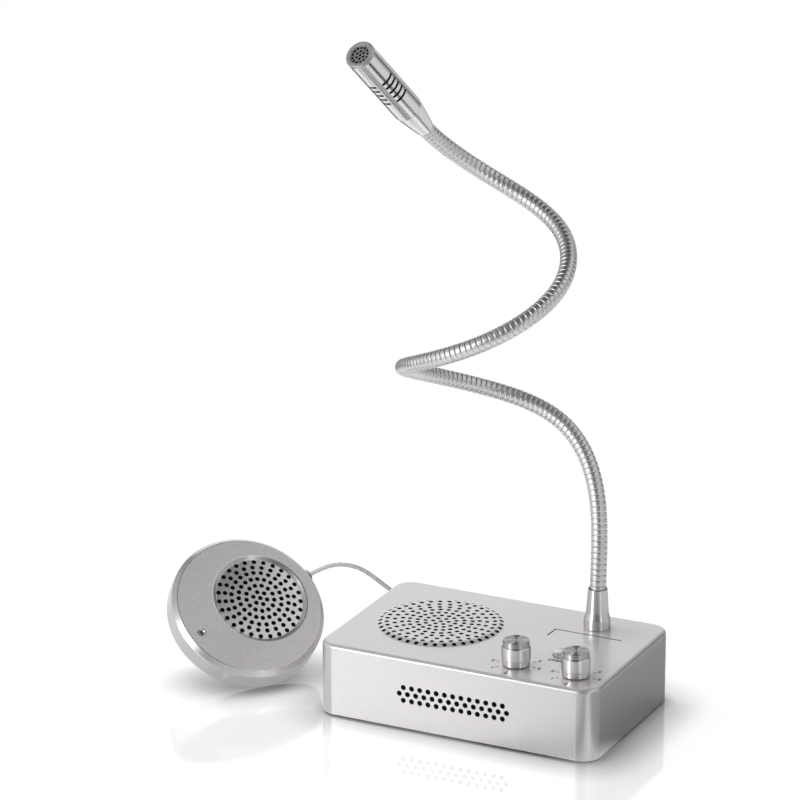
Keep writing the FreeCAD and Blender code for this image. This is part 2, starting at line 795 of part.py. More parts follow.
def make_electronics():
    """Amplifier board on its spacers, with its heat sink and capacitors."""
    low = base_top + S.spacer_height
    top = low + S.board_thickness
    blank = primitive("Box", board_x, board_y, low, Length=S.board_length, Width=board_width,
                      Height=S.board_thickness)
    holes = [primitive("Cylinder", x, y, low, Radius=S.spacer_peg_radius + S.spacer_peg_play,
                       Height=S.board_thickness) for x, y in spacer_spots()]
    keep(cut("main_board", blank, *holes), "main_board")
    spacers = []
    for number, (x, y) in enumerate(spacer_spots(), start=1):
        post = primitive("Cylinder", x, y, base_top, Radius=S.spacer_radius, Height=S.spacer_height)
        peg = primitive("Cylinder", x, y, low, Radius=S.spacer_peg_radius,
                        Height=S.board_thickness + S.spacer_peg_rise)
        spacers.append(fuse("board_spacer_%d" % number, [post, peg]))
    keep(group("board_spacers", spacers), "board_spacers")

    bars = [primitive("Box", heat_sink_x, heat_sink_y, top, Length=S.heat_sink_length,
                      Width=S.heat_sink_back, Height=S.heat_sink_height)]
    step = (S.heat_sink_length - S.heat_sink_fin) / (S.heat_sink_fins - 1)
    for number in range(int(S.heat_sink_fins)):
        bars.append(primitive("Box", heat_sink_x + number * step, heat_sink_y, top,
                              Length=S.heat_sink_fin, Width=S.heat_sink_depth, Height=S.heat_sink_height))
    keep(fuse("heat_sink", bars), "heat_sink")
    spots = [(capacitor_x, capacitor_y), (capacitor_x + S.capacitor_pitch, capacitor_y),
             (capacitor_x, capacitor_y + S.capacitor_pitch)]
    cans = [primitive("Cylinder", x, y, top, Radius=S.capacitor_radius, Height=S.capacitor_height)
            for x, y in spots]
    keep(group("capacitors", cans), "capacitors")


def make_volume_control(side, x):
    """Potentiometer under the deck, its shaft and the knob with its spun metal cap."""
    low = deck_under - S.pot_depth
    bore = S.shaft_radius + S.shaft_play
    pot = lathe(
        side + "_volume_pot",
        (0, low),
        (S.pot_radius, low),
        (S.pot_radius, deck_under),
        (S.bushing_radius, deck_under),
        (S.bushing_radius, deck + S.bushing_rise),
        (bore, deck + S.bushing_rise),
        (bore, low + S.pot_floor),
        (0, low + S.pot_floor),
    )
    keep(pot, side + "_volume_pot", x, knob_y)

    foot = deck + S.knob_gap
    bottom = low + S.pot_floor + S.shaft_end_gap
    shaft = primitive("Cylinder", Radius=S.shaft_radius,
                      Height=foot + S.knob_bore_depth - S.shaft_end_gap - bottom)
    keep(shaft, side + "_volume_shaft", x, knob_y, bottom)

    skirt = S.knob_radius - S.knob_skirt_inset
    top = foot + S.knob_height
    seat = top + S.knob_shoulder_height
    hole = S.shaft_radius + S.knob_bore_play
    knob = lathe(
        side + "_volume_knob",
        (S.knob_recess_radius, foot),
        (skirt, foot),
        (skirt, foot + S.knob_skirt_height),
        (S.knob_radius, foot + S.knob_skirt_height + S.knob_bevel),
        (S.knob_radius, top - S.knob_bevel),
        (S.knob_radius - S.knob_bevel, top),
        (S.knob_shoulder_radius, top),
        (S.knob_shoulder_radius, seat),
        (0, seat),
        (0, foot + S.knob_bore_depth),
        (hole, foot + S.knob_bore_depth),
        (hole, foot + S.knob_recess_depth),
        (S.knob_recess_radius, foot + S.knob_recess_depth),
    )
    keep(knob, side + "_volume_knob", x, knob_y)

    cap_top = seat + S.knob_cap_thickness
    cap = lathe(
        side + "_knob_cap",
        (0, seat),
        (S.knob_cap_radius, seat),
        (S.knob_cap_radius, cap_top - S.knob_cap_bevel),
        (S.knob_cap_radius - S.knob_cap_bevel, cap_top),
        (0, cap_top),
    )
    keep(cap, side + "_knob_cap", x, knob_y)


def make_controls():
    """Two volume controls and the power button on its switch."""
    controls = (("inner", inner_knob_x), ("outer", outer_knob_x))
    for side, x in controls:
        make_volume_control(side, x)
    nuts = [hex_nut(side + "_pot_nut", S.pot_nut_across, S.pot_nut_height, S.bushing_radius + S.nut_play,
                    x, knob_y, deck) for side, x in controls]
    keep(group("pot_nuts", nuts), "pot_nuts")

    top = deck + S.button_rise
    cap_low = top - S.button_height
    button = lathe(
        "power_button",
        (0, cap_low - S.button_stem_length),
        (S.button_stem_radius, cap_low - S.button_stem_length),
        (S.button_stem_radius, cap_low),
        (S.button_radius, cap_low),
        (S.button_radius, top - S.button_bevel),
        (S.button_radius - S.button_bevel, top),
        (0, top),
    )
    keep(button, "power_button", button_x, button_y)

    low = deck_under - S.switch_depth
    well = deck_under - S.switch_well_depth
    stop = cap_low - S.button_stem_length - S.button_travel - S.button_stop_gap
    switch = lathe(
        "power_switch",
        (0, low),
        (S.switch_radius, low),
        (S.switch_radius, deck_under),
        (S.button_radius + S.button_clearance, deck_under),
        (S.button_radius + S.button_clearance, well),
        (S.button_stem_radius + S.switch_stem_play, well),
        (S.button_stem_radius + S.switch_stem_play, stop),
        (0, stop),
    )
    keep(switch, "power_switch", button_x, button_y)


def make_jack(name, x, z, length, width, nose, bore, bore_depth):
    """Socket behind the rear wall with its nose through it, bored from outside."""
    back = Rotation(Vector(1, 0, 0), 90)
    block = primitive("Box", x - width / 2, rear_inside - length, z - width / 2, Length=width,
                      Width=length, Height=width)
    mouth = rear_face - S.jack_nose_setback
    tip = primitive("Cylinder", x, mouth, z, back, Radius=nose, Height=S.case_wall + S.cut_overrun)
    hole = primitive("Cylinder", x, rear_face + S.cut_overrun, z, back, Radius=bore,
                     Height=bore_depth + S.cut_overrun)
    return cut(name, fuse(name + "_blank", [block, tip]), hole)


def make_jacks():
    """Power inlet and the pod's socket."""
    shell = make_jack("power_jack_shell", power_jack_x, S.power_jack_z, S.power_jack_length,
                      S.power_jack_width, S.power_jack_nose_radius, S.power_jack_bore_radius,
                      S.power_jack_bore_depth)
    pin = primitive("Cylinder", power_jack_x, rear_face - S.case_wall, S.power_jack_z,
                    Rotation(Vector(1, 0, 0), 90), Radius=S.power_jack_pin_radius,
                    Height=S.power_jack_bore_depth)
    keep(fuse("power_jack", [shell, pin]), "power_jack")
    jack = make_jack("pod_jack", pod_jack_x, S.pod_jack_z, S.pod_jack_length, S.pod_jack_width,
                     S.pod_jack_nose_radius, S.pod_jack_bore_radius, S.pod_jack_bore_depth)
    keep(jack, "pod_jack")


# Control points of the neck's centre line from the floor of the ferrule's socket: across and rearward
# as shares of the neck's sway, up as a share of its rise
NECK_SHARES = (
    (0, 0, 0),
    (0, 0, 0.08),
    (-0.01, 0.1, 0.228),
    (-0.31, 0.32, 0.362),
    (-0.82, 0.26, 0.403),
    (-1.12, -0.22, 0.478),
    (-0.84, -0.7, 0.549),
    (-0.33, -0.78, 0.623),
    (-0.01, -0.4, 0.709),
    (-0.21, 0.09, 0.794),
    (-0.75, 0.12, 0.869),
    (-0.93, -0.11, 0.951),
    (-0.955, -0.255, 1),
)
# Where along the neck its five bends sit, as shares of its length
BEND_SHARES = (0.13, 0.3, 0.48, 0.66, 0.84)
# One rib of the hose: places along it as shares of the pitch, and how far it stands out of the valley
# as a share of the rib's height
RIB_SHARES = ((0, 0), (0.25, 1), (0.65, 1), (0.9, 0))

socket_floor = deck + S.ferrule_height - S.ferrule_socket_depth
neck_foot = Vector(S.unit_x + neck_x, S.unit_y + neck_y, socket_floor)


def neck_line():
    """Centre line of the neck as one smooth curve."""
    poles = [neck_foot + Vector(x * S.neck_sway, y * S.neck_sway, z * S.neck_rise)
             for x, y, z in NECK_SHARES]
    curve = Part.BSplineCurve()
    curve.buildFromPoles(poles, False, 3)
    return curve


neck = neck_line()
neck_length = neck.length()


def station(distance, seam):
    """Frame square to the neck at a distance along it, with its seam as near to the last as it can be."""
    at = neck.parameterAtDistance(distance, neck.FirstParameter)
    along = Vector(*neck.tangent(at)[0])
    across = (seam - along * seam.dot(along)).normalize()
    return Placement(neck.value(at), Rotation(across, along.cross(across), along, "ZXY"))


def axis_of(frame):
    """Direction in which a frame looks."""
    return frame.Rotation.multVec(UP)


def hoop(frame, radius):
    """Circle in a frame."""
    wire = Part.Wire(Part.Circle(Vector(), UP, radius).toShape())
    wire.Placement = frame
    return wire


def pushed(frame, distance):
    """Frame moved along its own axis."""
    return frame * Placement(Vector(0, 0, distance), Rotation())


def hose(start, end, socket, ball):
    """Ribbed hose between two distances along the neck, cupped and ball-ended where it bends."""
    ribs = round((end - start) / S.hose_rib_pitch)
    pitch = (end - start) / ribs
    stand = S.hose_crest_radius - S.hose_valley_radius
    seam = REARWARD
    hoops = []
    for rib in range(ribs):
        for share, height_share in RIB_SHARES:
            frame = station(start + (rib + share) * pitch, seam)
            seam = frame.Rotation.multVec(Vector(1, 0, 0))
            hoops.append(hoop(frame, S.hose_valley_radius + height_share * stand))
    last = station(end, seam)
    hoops.append(hoop(last, S.hose_valley_radius))
    solid = Part.makeLoft(hoops, True, True)
    reach = S.cut_overrun + (S.hose_ball_radius if ball else 0)
    if ball:
        dome = Part.makeSphere(S.hose_ball_radius, last.Base, axis_of(last), 0, 90, 360)
        solid = solid.fuse(dome)

    steps = max(2, round((end - start) / S.hose_bore_step))
    first = station(start, REARWARD)
    seam = first.Rotation.multVec(Vector(1, 0, 0))
    holes = [hoop(pushed(first, -S.cut_overrun), S.hose_bore_radius)]
    for step in range(1, steps):
        frame = station(start + (end - start) * step / steps, seam)
        seam = frame.Rotation.multVec(Vector(1, 0, 0))
        holes.append(hoop(frame, S.hose_bore_radius))
    holes.append(hoop(pushed(last, 0), S.hose_bore_radius))
    holes.append(hoop(pushed(last, reach), S.hose_bore_radius))
    solid = solid.cut(Part.makeLoft(holes, True, True))
    if socket:
        centre = pushed(first, -S.hose_joint_gap).Base
        solid = solid.cut(Part.makeSphere(S.hose_socket_radius, centre))
    return solid.removeSplitter().Solids[0]


def make_neck():
    """Ferrule, washer and nut on the deck, and the hose in six lengths that turn on each other."""
    socket = S.hose_crest_radius + S.ferrule_socket_play
    ferrule = lathe(
        "neck_ferrule",
        (S.ferrule_wire_radius, deck - S.ferrule_thread_length),
        (S.ferrule_thread_radius, deck - S.ferrule_thread_length),
        (S.ferrule_thread_radius, deck),
        (S.ferrule_foot_radius, deck),
        (S.ferrule_foot_radius, deck + S.ferrule_foot_height),
        (S.ferrule_waist_radius, deck + S.ferrule_waist_height),
        (S.ferrule_top_radius, deck + S.ferrule_height),
        (socket, deck + S.ferrule_height),
        (socket, socket_floor),
        (S.ferrule_wire_radius, socket_floor),
    )
    keep(ferrule, "neck_ferrule", neck_x, neck_y)
    washer_low = deck_under - S.neck_washer_thickness
    washer = cut(
        "neck_washer",
        primitive("Cylinder", Radius=S.neck_washer_radius, Height=S.neck_washer_thickness),
        primitive("Cylinder", Radius=S.ferrule_thread_radius + S.ferrule_hole_clearance,
                  Height=S.neck_washer_thickness),
    )
    keep(washer, "neck_washer", neck_x, neck_y, washer_low)
    nut = hex_nut("neck_nut", S.neck_nut_across, S.neck_nut_height, S.ferrule_thread_radius + S.nut_play,
                  0, 0, washer_low - S.neck_nut_height)
    keep(nut, "neck_nut", neck_x, neck_y)

    bends = [share * neck_length for share in BEND_SHARES]
    starts = [0] + [bend + S.hose_joint_gap for bend in bends]
    ends = bends + [neck_length]
    for number, (start, end) in enumerate(zip(starts, ends), start=1):
        solid = hose(float(start), float(end), start > 0, end < neck_length)
        piece = feature("neck_hose_%d" % number, solid)
        keep_in(Placement(), piece, "neck_hose_%d" % number)
    for number, bend in enumerate(bends, start=1):
        frame = station(bend, REARWARD)
        spot, along = frame.Base, axis_of(frame)
        print("bend", number, *("%.4f" % size for size in (*spot, *along)))
    print("neck length %.1f" % neck_length)


MIC_FACE_RADIUS_SHARES = (0, 0.5, 1)
MIC_FACE_COUNTS = (1, 6, 13)
MIC_FACE_TURNS = (0, 0, 0)


def make_microphone():
    """Turned tail, slotted tube, perforated face and the capsule behind it."""
    end = station(neck_length, REARWARD)
    frame = pushed(end, -S.mic_hose_depth)
    inner = S.mic_radius - S.mic_wall
    spigot = inner - S.mic_spigot_play
    tail = lathe(
        "mic_tail",
        (S.mic_socket_radius, 0),
        (S.mic_mouth_bevel_radius, 0),
        (S.mic_radius, S.mic_taper_length),
        (spigot, S.mic_taper_length),
        (spigot, S.mic_taper_length + S.mic_spigot_length),
        (S.ferrule_wire_radius, S.mic_taper_length + S.mic_spigot_length),
        (S.ferrule_wire_radius, S.mic_socket_depth),
        (S.mic_socket_radius, S.mic_socket_depth),
    )
    keep_in(frame, tail, "mic_tail")

    top = S.mic_taper_length + S.mic_tube_length
    tube = lathe(
        "mic_tube",
        (inner, S.mic_taper_length),
        (S.mic_radius, S.mic_taper_length),
        (S.mic_radius, top),
        (inner, top),
    )
    slots = []
    for row in range(int(S.mic_slot_rows)):
        for column in range(int(S.mic_slot_columns)):
            height = S.mic_slot_start + row * S.mic_slot_pitch - S.mic_slot_width / 2
            wedge = Part.makeCylinder(S.mic_radius + S.cut_overrun, S.mic_slot_width,
                                      Vector(0, 0, height), UP, S.mic_slot_arc)
            wedge.rotate(Vector(), UP, S.mic_slot_turn + 360 * column / S.mic_slot_columns)
            slots.append(wedge)
    body = cut("mic_body", tube, feature("mic_slots", Part.makeCompound(slots)))
    keep_in(frame, body, "mic_body")

    foam_low = S.mic_slot_start - S.mic_foam_margin
    foam_top = S.mic_slot_start + (S.mic_slot_rows - 1) * S.mic_slot_pitch + S.mic_foam_margin
    foam = lathe(
        "mic_foam",
        (S.mic_foam_radius - S.mic_foam_wall, foam_low),
        (S.mic_foam_radius, foam_low),
        (S.mic_foam_radius, foam_top),
        (S.mic_foam_radius - S.mic_foam_wall, foam_top),
    )
    keep_in(frame, foam, "mic_foam")

    face = top + S.mic_face_thickness
    plate = lathe(
        "mic_face_plate",
        (0, top - S.mic_face_plug),
        (spigot, top - S.mic_face_plug),
        (spigot, top),
        (S.mic_radius, top),
        (S.mic_radius, top + S.mic_face_edge),
        (S.mic_radius - S.mic_face_bevel, face),
        (S.mic_face_rim_radius, face),
        (S.mic_face_recess_radius, face - S.mic_face_recess_depth),
        (0, face - S.mic_face_recess_depth),
    )
    deep = S.mic_face_thickness + S.mic_face_plug
    points = ring_points(S.mic_face_field_radius, MIC_FACE_RADIUS_SHARES, MIC_FACE_COUNTS, MIC_FACE_TURNS)
    drills = [Part.makeCylinder(S.mic_face_hole_radius, deep, Vector(x, y, top - S.mic_face_plug))
              for x, y in points]
    screen = cut("mic_face", plate, feature("mic_face_drills", Part.makeCompound(drills)))
    keep_in(frame, screen, "mic_face")

    capsule_low = top - S.mic_face_plug - S.mic_capsule_length
    capsule = lathe(
        "mic_capsule",
        (0, capsule_low),
        (S.mic_capsule_radius, capsule_low),
        (S.mic_capsule_radius, capsule_low + S.mic_capsule_length),
        (0, capsule_low + S.mic_capsule_length),
    )
    keep_in(frame, capsule, "mic_capsule")


POD_RADIUS_SHARES = (0, 0.169, 0.342, 0.523, 0.696, 0.848, 1)
POD_COUNTS = (1, 6, 13, 20, 24, 24, 27)
POD_TURNS = (0, -22, 11.1, 7.6, -4.6, -5.6, 0.3)
POD_BOSSES = 3

pod_stand = S.pod_radius * math.cos(math.radians(S.pod_tilt))
pod_frame = Placement(Vector(S.pod_x, S.pod_y, pod_stand), Rotation(UP, S.pod_heading)
                      * Rotation(Vector(1, 0, 0), 90 - S.pod_tilt))
pod_ceiling = S.pod_depth - S.pod_face_thickness


def boss_spots():
    """Places of the pod's screw bosses."""
    for number in range(POD_BOSSES):
        angle = math.radians(S.pod_boss_turn + 360 * number / POD_BOSSES)
        yield S.pod_boss_circle * math.cos(angle), S.pod_boss_circle * math.sin(angle)


def gland_frame(radius):
    """Frame on the pod's wall that looks out along the gland, at a distance from the pod's axis."""
    turn = Rotation(UP, S.gland_turn) * Rotation(REARWARD, 90)
    return Placement(turn.multVec(Vector(0, 0, radius)) + Vector(0, 0, S.gland_height), turn)


def make_pod_shell():
    """Round front shell with the domed, perforated floor of its speaker recess."""
    inner = S.pod_radius - S.pod_wall
    blank = lathe(
        "pod_blank",
        (inner, 0),
        (S.pod_radius, 0),
        (S.pod_radius, S.pod_depth - S.pod_bevel_depth),
        (S.pod_face_radius, S.pod_depth),
        (0, S.pod_depth),
        (0, pod_ceiling),
        (inner, pod_ceiling),
    )
    bosses = [primitive("Cylinder", x, y, S.pod_cover_thickness, Radius=S.pod_boss_radius,
                        Height=pod_ceiling - S.pod_cover_thickness) for x, y in boss_spots()]
    pilots = [primitive("Cylinder", x, y, S.pod_cover_thickness, Radius=S.pod_screw_radius + S.pod_screw_play,
                        Height=S.pod_screw_length) for x, y in boss_spots()]
    shell = cut("pod_shell_blank", fuse("pod_shell_bossed", [blank, *bosses]), *pilots)

    floor_square = S.pod_recess_floor_radius * S.pod_recess_floor_radius
    dome_radius = (floor_square / S.pod_dome_rise + S.pod_dome_rise) / 2
    slope = (S.pod_recess_mouth_radius - S.pod_recess_floor_radius) / S.pod_recess_depth
    recess_floor = S.pod_depth - S.pod_recess_depth
    centre = Vector(S.pod_grille_x, S.pod_grille_y, 0)
    bowl = Part.makeCone(S.pod_recess_floor_radius,
                         S.pod_recess_mouth_radius + slope * S.cut_overrun,
                         S.pod_recess_depth + S.cut_overrun, centre + Vector(0, 0, recess_floor))
    ball = Part.makeSphere(dome_radius, centre + Vector(0, 0, recess_floor + S.pod_dome_rise - dome_radius))
    tools = [bowl.cut(ball)]
    for x, y in ring_points(S.pod_field_radius, POD_RADIUS_SHARES, POD_COUNTS, POD_TURNS):
        spot = centre + Vector(x, y, pod_ceiling - S.cut_overrun)
        tools.append(Part.makeCylinder(S.pod_hole_radius, S.pod_face_thickness + 2 * S.cut_overrun, spot))
    spot = Vector(S.pod_mic_x, S.pod_mic_y, pod_ceiling - S.cut_overrun)
    deep = S.pod_face_thickness + 2 * S.cut_overrun
    sink = Part.makeCone(S.pod_mic_hole_radius, S.pod_mic_sink_radius, S.pod_mic_sink_depth,
                         Vector(S.pod_mic_x, S.pod_mic_y, S.pod_depth - S.pod_mic_sink_depth))
    tools.append(Part.makeCylinder(S.pod_mic_hole_radius, deep, spot).fuse(sink))
    gland_hole = Part.makeCylinder(S.gland_neck_radius + S.gland_clearance, S.pod_wall + 2 * S.cut_overrun)
    gland_hole.Placement = gland_frame(inner - S.cut_overrun)
    tools.append(gland_hole)
    return cut("pod_shell", shell, feature("pod_tools", Part.makeCompound(tools)))


def make_pod_closing():
    """Back cover, its screws and the adhesive pad that sticks to the glass."""
    blank = primitive("Cylinder", Radius=S.pod_radius - S.pod_wall - S.pod_cover_gap,
                      Height=S.pod_cover_thickness)
    tools = []
    screws = []
    for number, (x, y) in enumerate(boss_spots(), start=1):
        tools.append(primitive("Cylinder", x, y, Radius=S.pod_screw_radius + S.pod_screw_play,
                               Height=S.pod_cover_thickness))
        tools.append(primitive("Cylinder", x, y, Radius=S.pod_screw_head_radius + S.pod_screw_play,
                               Height=S.pod_screw_head_depth))
        head = primitive("Cylinder", x, y, Radius=S.pod_screw_head_radius, Height=S.pod_screw_head_depth)
        shank = primitive("Cylinder", x, y, Radius=S.pod_screw_radius, Height=S.pod_screw_length)
        screws.append(fuse("pod_screw_%d" % number, [head, shank]))
    keep_in(pod_frame, cut("pod_back_cover", blank, *tools), "pod_back_cover")
    keep_in(pod_frame, group("pod_screws", screws), "pod_screws")
    pad = lathe(
        "pod_pad",
        (0, -S.pod_pad_thickness),
        (S.pod_pad_radius, -S.pod_pad_thickness),
        (S.pod_pad_radius, 0),
        (0, 0),
    )
    keep_in(pod_frame, pad, "pod_pad")


def make_pod_speaker():
    """Flat loudspeaker glued behind the pod's grille, with the cloth between them."""
    cloth_low = pod_ceiling - S.cloth_thickness
    cloth = lathe(
        "pod_cloth",
        (0, cloth_low),
        (S.pod_cloth_radius, cloth_low),
        (S.pod_cloth_radius, pod_ceiling),
        (0, pod_ceiling),
    )
    keep_in(pod_frame, cloth, "pod_cloth", S.pod_grille_x, S.pod_grille_y)

    seat = cloth_low - S.pod_speaker_flange
    floor = seat - S.pod_basket_depth
    opening = S.pod_basket_mouth_radius + S.pod_basket_wall
    frame = lathe(
        "pod_speaker_frame",
        (S.pod_speaker_radius, cloth_low),
        (S.pod_speaker_radius, seat),
        (opening + S.pod_basket_shoulder, seat),
        (S.pod_basket_floor_radius, floor),
        (S.pod_basket_floor_hole_radius, floor),
        (S.pod_basket_floor_hole_radius, floor + S.pod_basket_wall),
        (S.pod_basket_floor_radius - S.pod_basket_wall, floor + S.pod_basket_wall),
        (S.pod_basket_mouth_radius, seat),
        (opening, seat),
        (opening, cloth_low),
    )
    keep_in(pod_frame, frame, "pod_speaker_frame", S.pod_grille_x, S.pod_grille_y)

    low = floor - S.pod_magnet_height
    magnet = lathe(
        "pod_speaker_magnet",
        (0, low),
        (S.pod_magnet_radius, low),
        (S.pod_magnet_radius, floor),
        (S.pod_pole_gap_radius, floor),
        (S.pod_pole_gap_radius, low + S.pod_magnet_floor),
        (S.pod_pole_radius, low + S.pod_magnet_floor),
        (S.pod_pole_radius, floor + S.pod_pole_rise),
        (0, floor + S.pod_pole_rise),
    )
    keep_in(pod_frame, magnet, "pod_speaker_magnet", S.pod_grille_x, S.pod_grille_y)

    edge = opening - S.cone_edge_gap
    throat = seat - S.pod_cone_depth
    coil_low = throat - S.pod_voice_coil_length
    cone = lathe(
        "pod_speaker_cone",
        (S.pod_voice_coil_radius - S.cone_thickness, coil_low),
        (S.pod_voice_coil_radius, coil_low),
        (S.pod_voice_coil_radius, throat),
        (edge - S.pod_cone_edge_width, seat),
        (edge, seat),
        (edge, seat + S.pod_cone_thickness),
        (edge - S.pod_cone_edge_width, seat + S.pod_cone_thickness),
        (S.pod_voice_coil_radius - S.cone_thickness, throat + S.pod_cone_thickness),
    )
    keep_in(pod_frame, cone, "pod_speaker_cone", S.pod_grille_x, S.pod_grille_y)


def make_pod():
    """Customer's pod: shell, speaker, microphone, cover and cord gland."""
    keep_in(pod_frame, make_pod_shell(), "pod_shell")
    make_pod_closing()
    make_pod_speaker()
    capsule = lathe(
        "pod_mic_capsule",
        (0, pod_ceiling - S.pod_mic_length),
        (S.pod_mic_radius, pod_ceiling - S.pod_mic_length),
        (S.pod_mic_radius, pod_ceiling),
        (0, pod_ceiling),
    )
    keep_in(pod_frame, capsule, "pod_mic_capsule", S.pod_mic_x, S.pod_mic_y)
    gland = lathe(
        "pod_gland",
        (S.cord_radius, 0),
        (S.gland_neck_radius, 0),
        (S.gland_neck_radius, S.gland_neck_length),
        (S.gland_radius, S.gland_neck_length),
        (S.gland_radius, S.gland_neck_length + S.gland_length),
        (0, S.gland_neck_length + S.gland_length),
        (0, S.gland_neck_length),
        (S.cord_radius, S.gland_neck_length),
    )
    keep_in(pod_frame * gland_frame(S.pod_radius - S.gland_neck_length), gland, "pod_gland")


COIL_TURNS = 13
COIL_LAYERS = 4
# Turns over which the winding reverses, half before and half after it
REVERSAL = 0.5
# Share of the shorter run that each arc of a cord takes up
BEND_SHARE = 0.45

cord_exit = pod_frame * gland_frame(S.pod_radius + S.gland_length)
coil_low = S.coil_lift + S.cord_radius
coil_high = coil_low + (COIL_LAYERS - 1) * S.coil_pitch
plug_tail = S.unit_y + rear_face + S.plug_gap + S.plug_length + S.plug_relief_length
plug_x = S.unit_x + pod_jack_x


def unit(vector):
    """Vector of length one along another."""
    return Vector(vector).normalize()


def coil_slope(turn):
    """How the winding's radius changes, in pitches per turn, smoothly reversed between layers."""
    layer_turns = COIL_TURNS / COIL_LAYERS
    layer = min(int(turn // layer_turns), COIL_LAYERS - 1)
    sign = 1 if layer % 2 else -1
    into = turn - layer * layer_turns if layer > 0 else REVERSAL
    left = (layer + 1) * layer_turns - turn if layer < COIL_LAYERS - 1 else REVERSAL
    return sign * min(1, into / (REVERSAL / 2), left / (REVERSAL / 2))


def coil_state(turn):
    """Place of the winding's centre line after some turns, from the top layer's outer end."""
    steps = 400
    width = turn / steps
    grown = sum(coil_slope((step + 0.5) * width) * width for step in range(steps)) if turn else 0
    layer_turns = COIL_TURNS / COIL_LAYERS
    height = coil_high
    for climb in range(1, COIL_LAYERS):
        done = (turn - climb * layer_turns) / REVERSAL + 0.5
        done = max(0, min(1, done))
        height -= S.coil_pitch * done * done * (3 - 2 * done)
    radius = S.coil_outer_radius + S.coil_pitch * grown
    angle = math.pi / 2 - 2 * math.pi * turn
    return Vector(S.coil_x + radius * math.cos(angle), S.coil_y + radius * math.sin(angle), height)


def coil_heading(turn):
    """Direction of the winding's centre line."""
    nudge = 0.001
    before, after = max(0, turn - nudge), min(COIL_TURNS, turn + nudge)
    return unit(coil_state(after) - coil_state(before))


lead_length = 2 * S.cord_radius
coil_start = coil_state(0) - coil_heading(0) * lead_length
coil_end = coil_state(COIL_TURNS) + coil_heading(COIL_TURNS) * lead_length

# Route from the pod over a free arch and down onto the top of the coil
ROUTE_FROM_POD = [
    cord_exit.Base,
    cord_exit * Vector(0, 0, 12),
    Vector(-64.5, 44.5, 46.2),
    Vector(-58.5, 57.5, 39.2),
    Vector(-53, 69.5, 27.5),
    Vector(-45.5, 80.5, 15.5),
    Vector(-32.5, 90, 11.8),
    coil_start - coil_heading(0) * 20,
    coil_start,
]
# Route from the bottom of the coil along the counter and up into the plug
ROUTE_TO_PLUG = [
    coil_end,
    coil_end + coil_heading(COIL_TURNS) * 12.4,
    Vector(38.5, 97, 1.5),
    Vector(52.5, 100, 1.4),
    Vector(65.5, 98, 3),
    Vector(72.2, 89, 7.8),
    Vector(plug_x, plug_tail + 7.6, S.pod_jack_z),
    Vector(plug_x, plug_tail, S.pod_jack_z),
]


def route_edges(points):
    """Straight runs joined by tangent arcs, and the radius of each arc."""
    edges = []
    radii = []
    here = points[0]
    for before, corner, after in zip(points, points[1:], points[2:]):
        come, go = corner - before, after - corner
        turn = come.getAngle(go)
        reach = BEND_SHARE * min(come.Length, go.Length)
        radius = reach / math.tan(turn / 2)
        enter, leave = corner - unit(come) * reach, corner + unit(go) * reach
        sagitta = radius / math.cos(turn / 2) - radius
        middle = corner + unit(unit(go) - unit(come)) * sagitta
        edges += [Part.LineSegment(here, enter).toShape(), Part.Arc(enter, middle, leave).toShape()]
        radii.append(radius)
        here = leave
    edges.append(Part.LineSegment(here, points[-1]).toShape())
    return edges, radii


def tube(edges, radius):
    """Round tube along joined edges."""
    path = Part.Wire(edges)
    start = edges[0]
    along = unit(start.tangentAt(start.FirstParameter))
    rim = Part.Wire(Part.Circle(start.valueAt(start.FirstParameter), along, radius).toShape())
    shell = Part.BRepOffsetAPI.MakePipeShell(path)
    shell.add(rim)
    shell.build()
    shell.makeSolid()
    solid = shell.shape()
    section = math.pi * radius * radius
    print("tube length %.1f, volume share %.4f" % (path.Length, solid.Volume / (section * path.Length)))
    return solid


def arc_from(start, heading, end):
    """Arc that leaves a point in a direction and ends at another point."""
    chord = end - start
    along = unit(chord)
    angle = heading.getAngle(chord)
    side = heading - along * heading.dot(along)
    middle = start + chord / 2 + unit(side) * (chord.Length / 2 * math.tan(angle / 2))
    return Part.Arc(start, middle, end).toShape()


def biarc(start, heading, end, final):
    """Two arcs that join two places with given directions smoothly."""
    chord = end - start
    both = heading + final
    spare = 2 * (1 - heading.dot(final))
    reach = (-chord.dot(both) + math.sqrt(chord.dot(both) ** 2 + spare * chord.dot(chord))) / spare
    joint = (start + heading * reach + end - final * reach) / 2
    first = arc_from(start, heading, joint)
    middle = unit(end - final * reach - joint)
    return [first, arc_from(joint, middle, end)]


def make_coil():
    """The cord's stored length, wound in four layers as one unbroken tube."""
    quarters = range(4 * COIL_TURNS + 1)
    spots = [coil_state(quarter / 4) for quarter in quarters]
    headings = [coil_heading(quarter / 4) for quarter in quarters]
    edges = [Part.LineSegment(coil_start, spots[0]).toShape()]
    for number in range(4 * COIL_TURNS):
        edges += biarc(spots[number], headings[number], spots[number + 1], headings[number + 1])
    edges.append(Part.LineSegment(spots[-1], coil_end).toShape())

    points = []
    for edge in edges[1:-1]:
        points += edge.discretize(9)[:-1]
    per_turn = len(points) / COIL_TURNS
    gaps = [one.distanceToPoint(other) for at, one in enumerate(points)
            for other in points[at + int(per_turn / 2):]]
    print("coil least gap to itself %.2f" % (min(gaps) - 2 * S.cord_radius))
    return tube(edges, S.cord_radius)


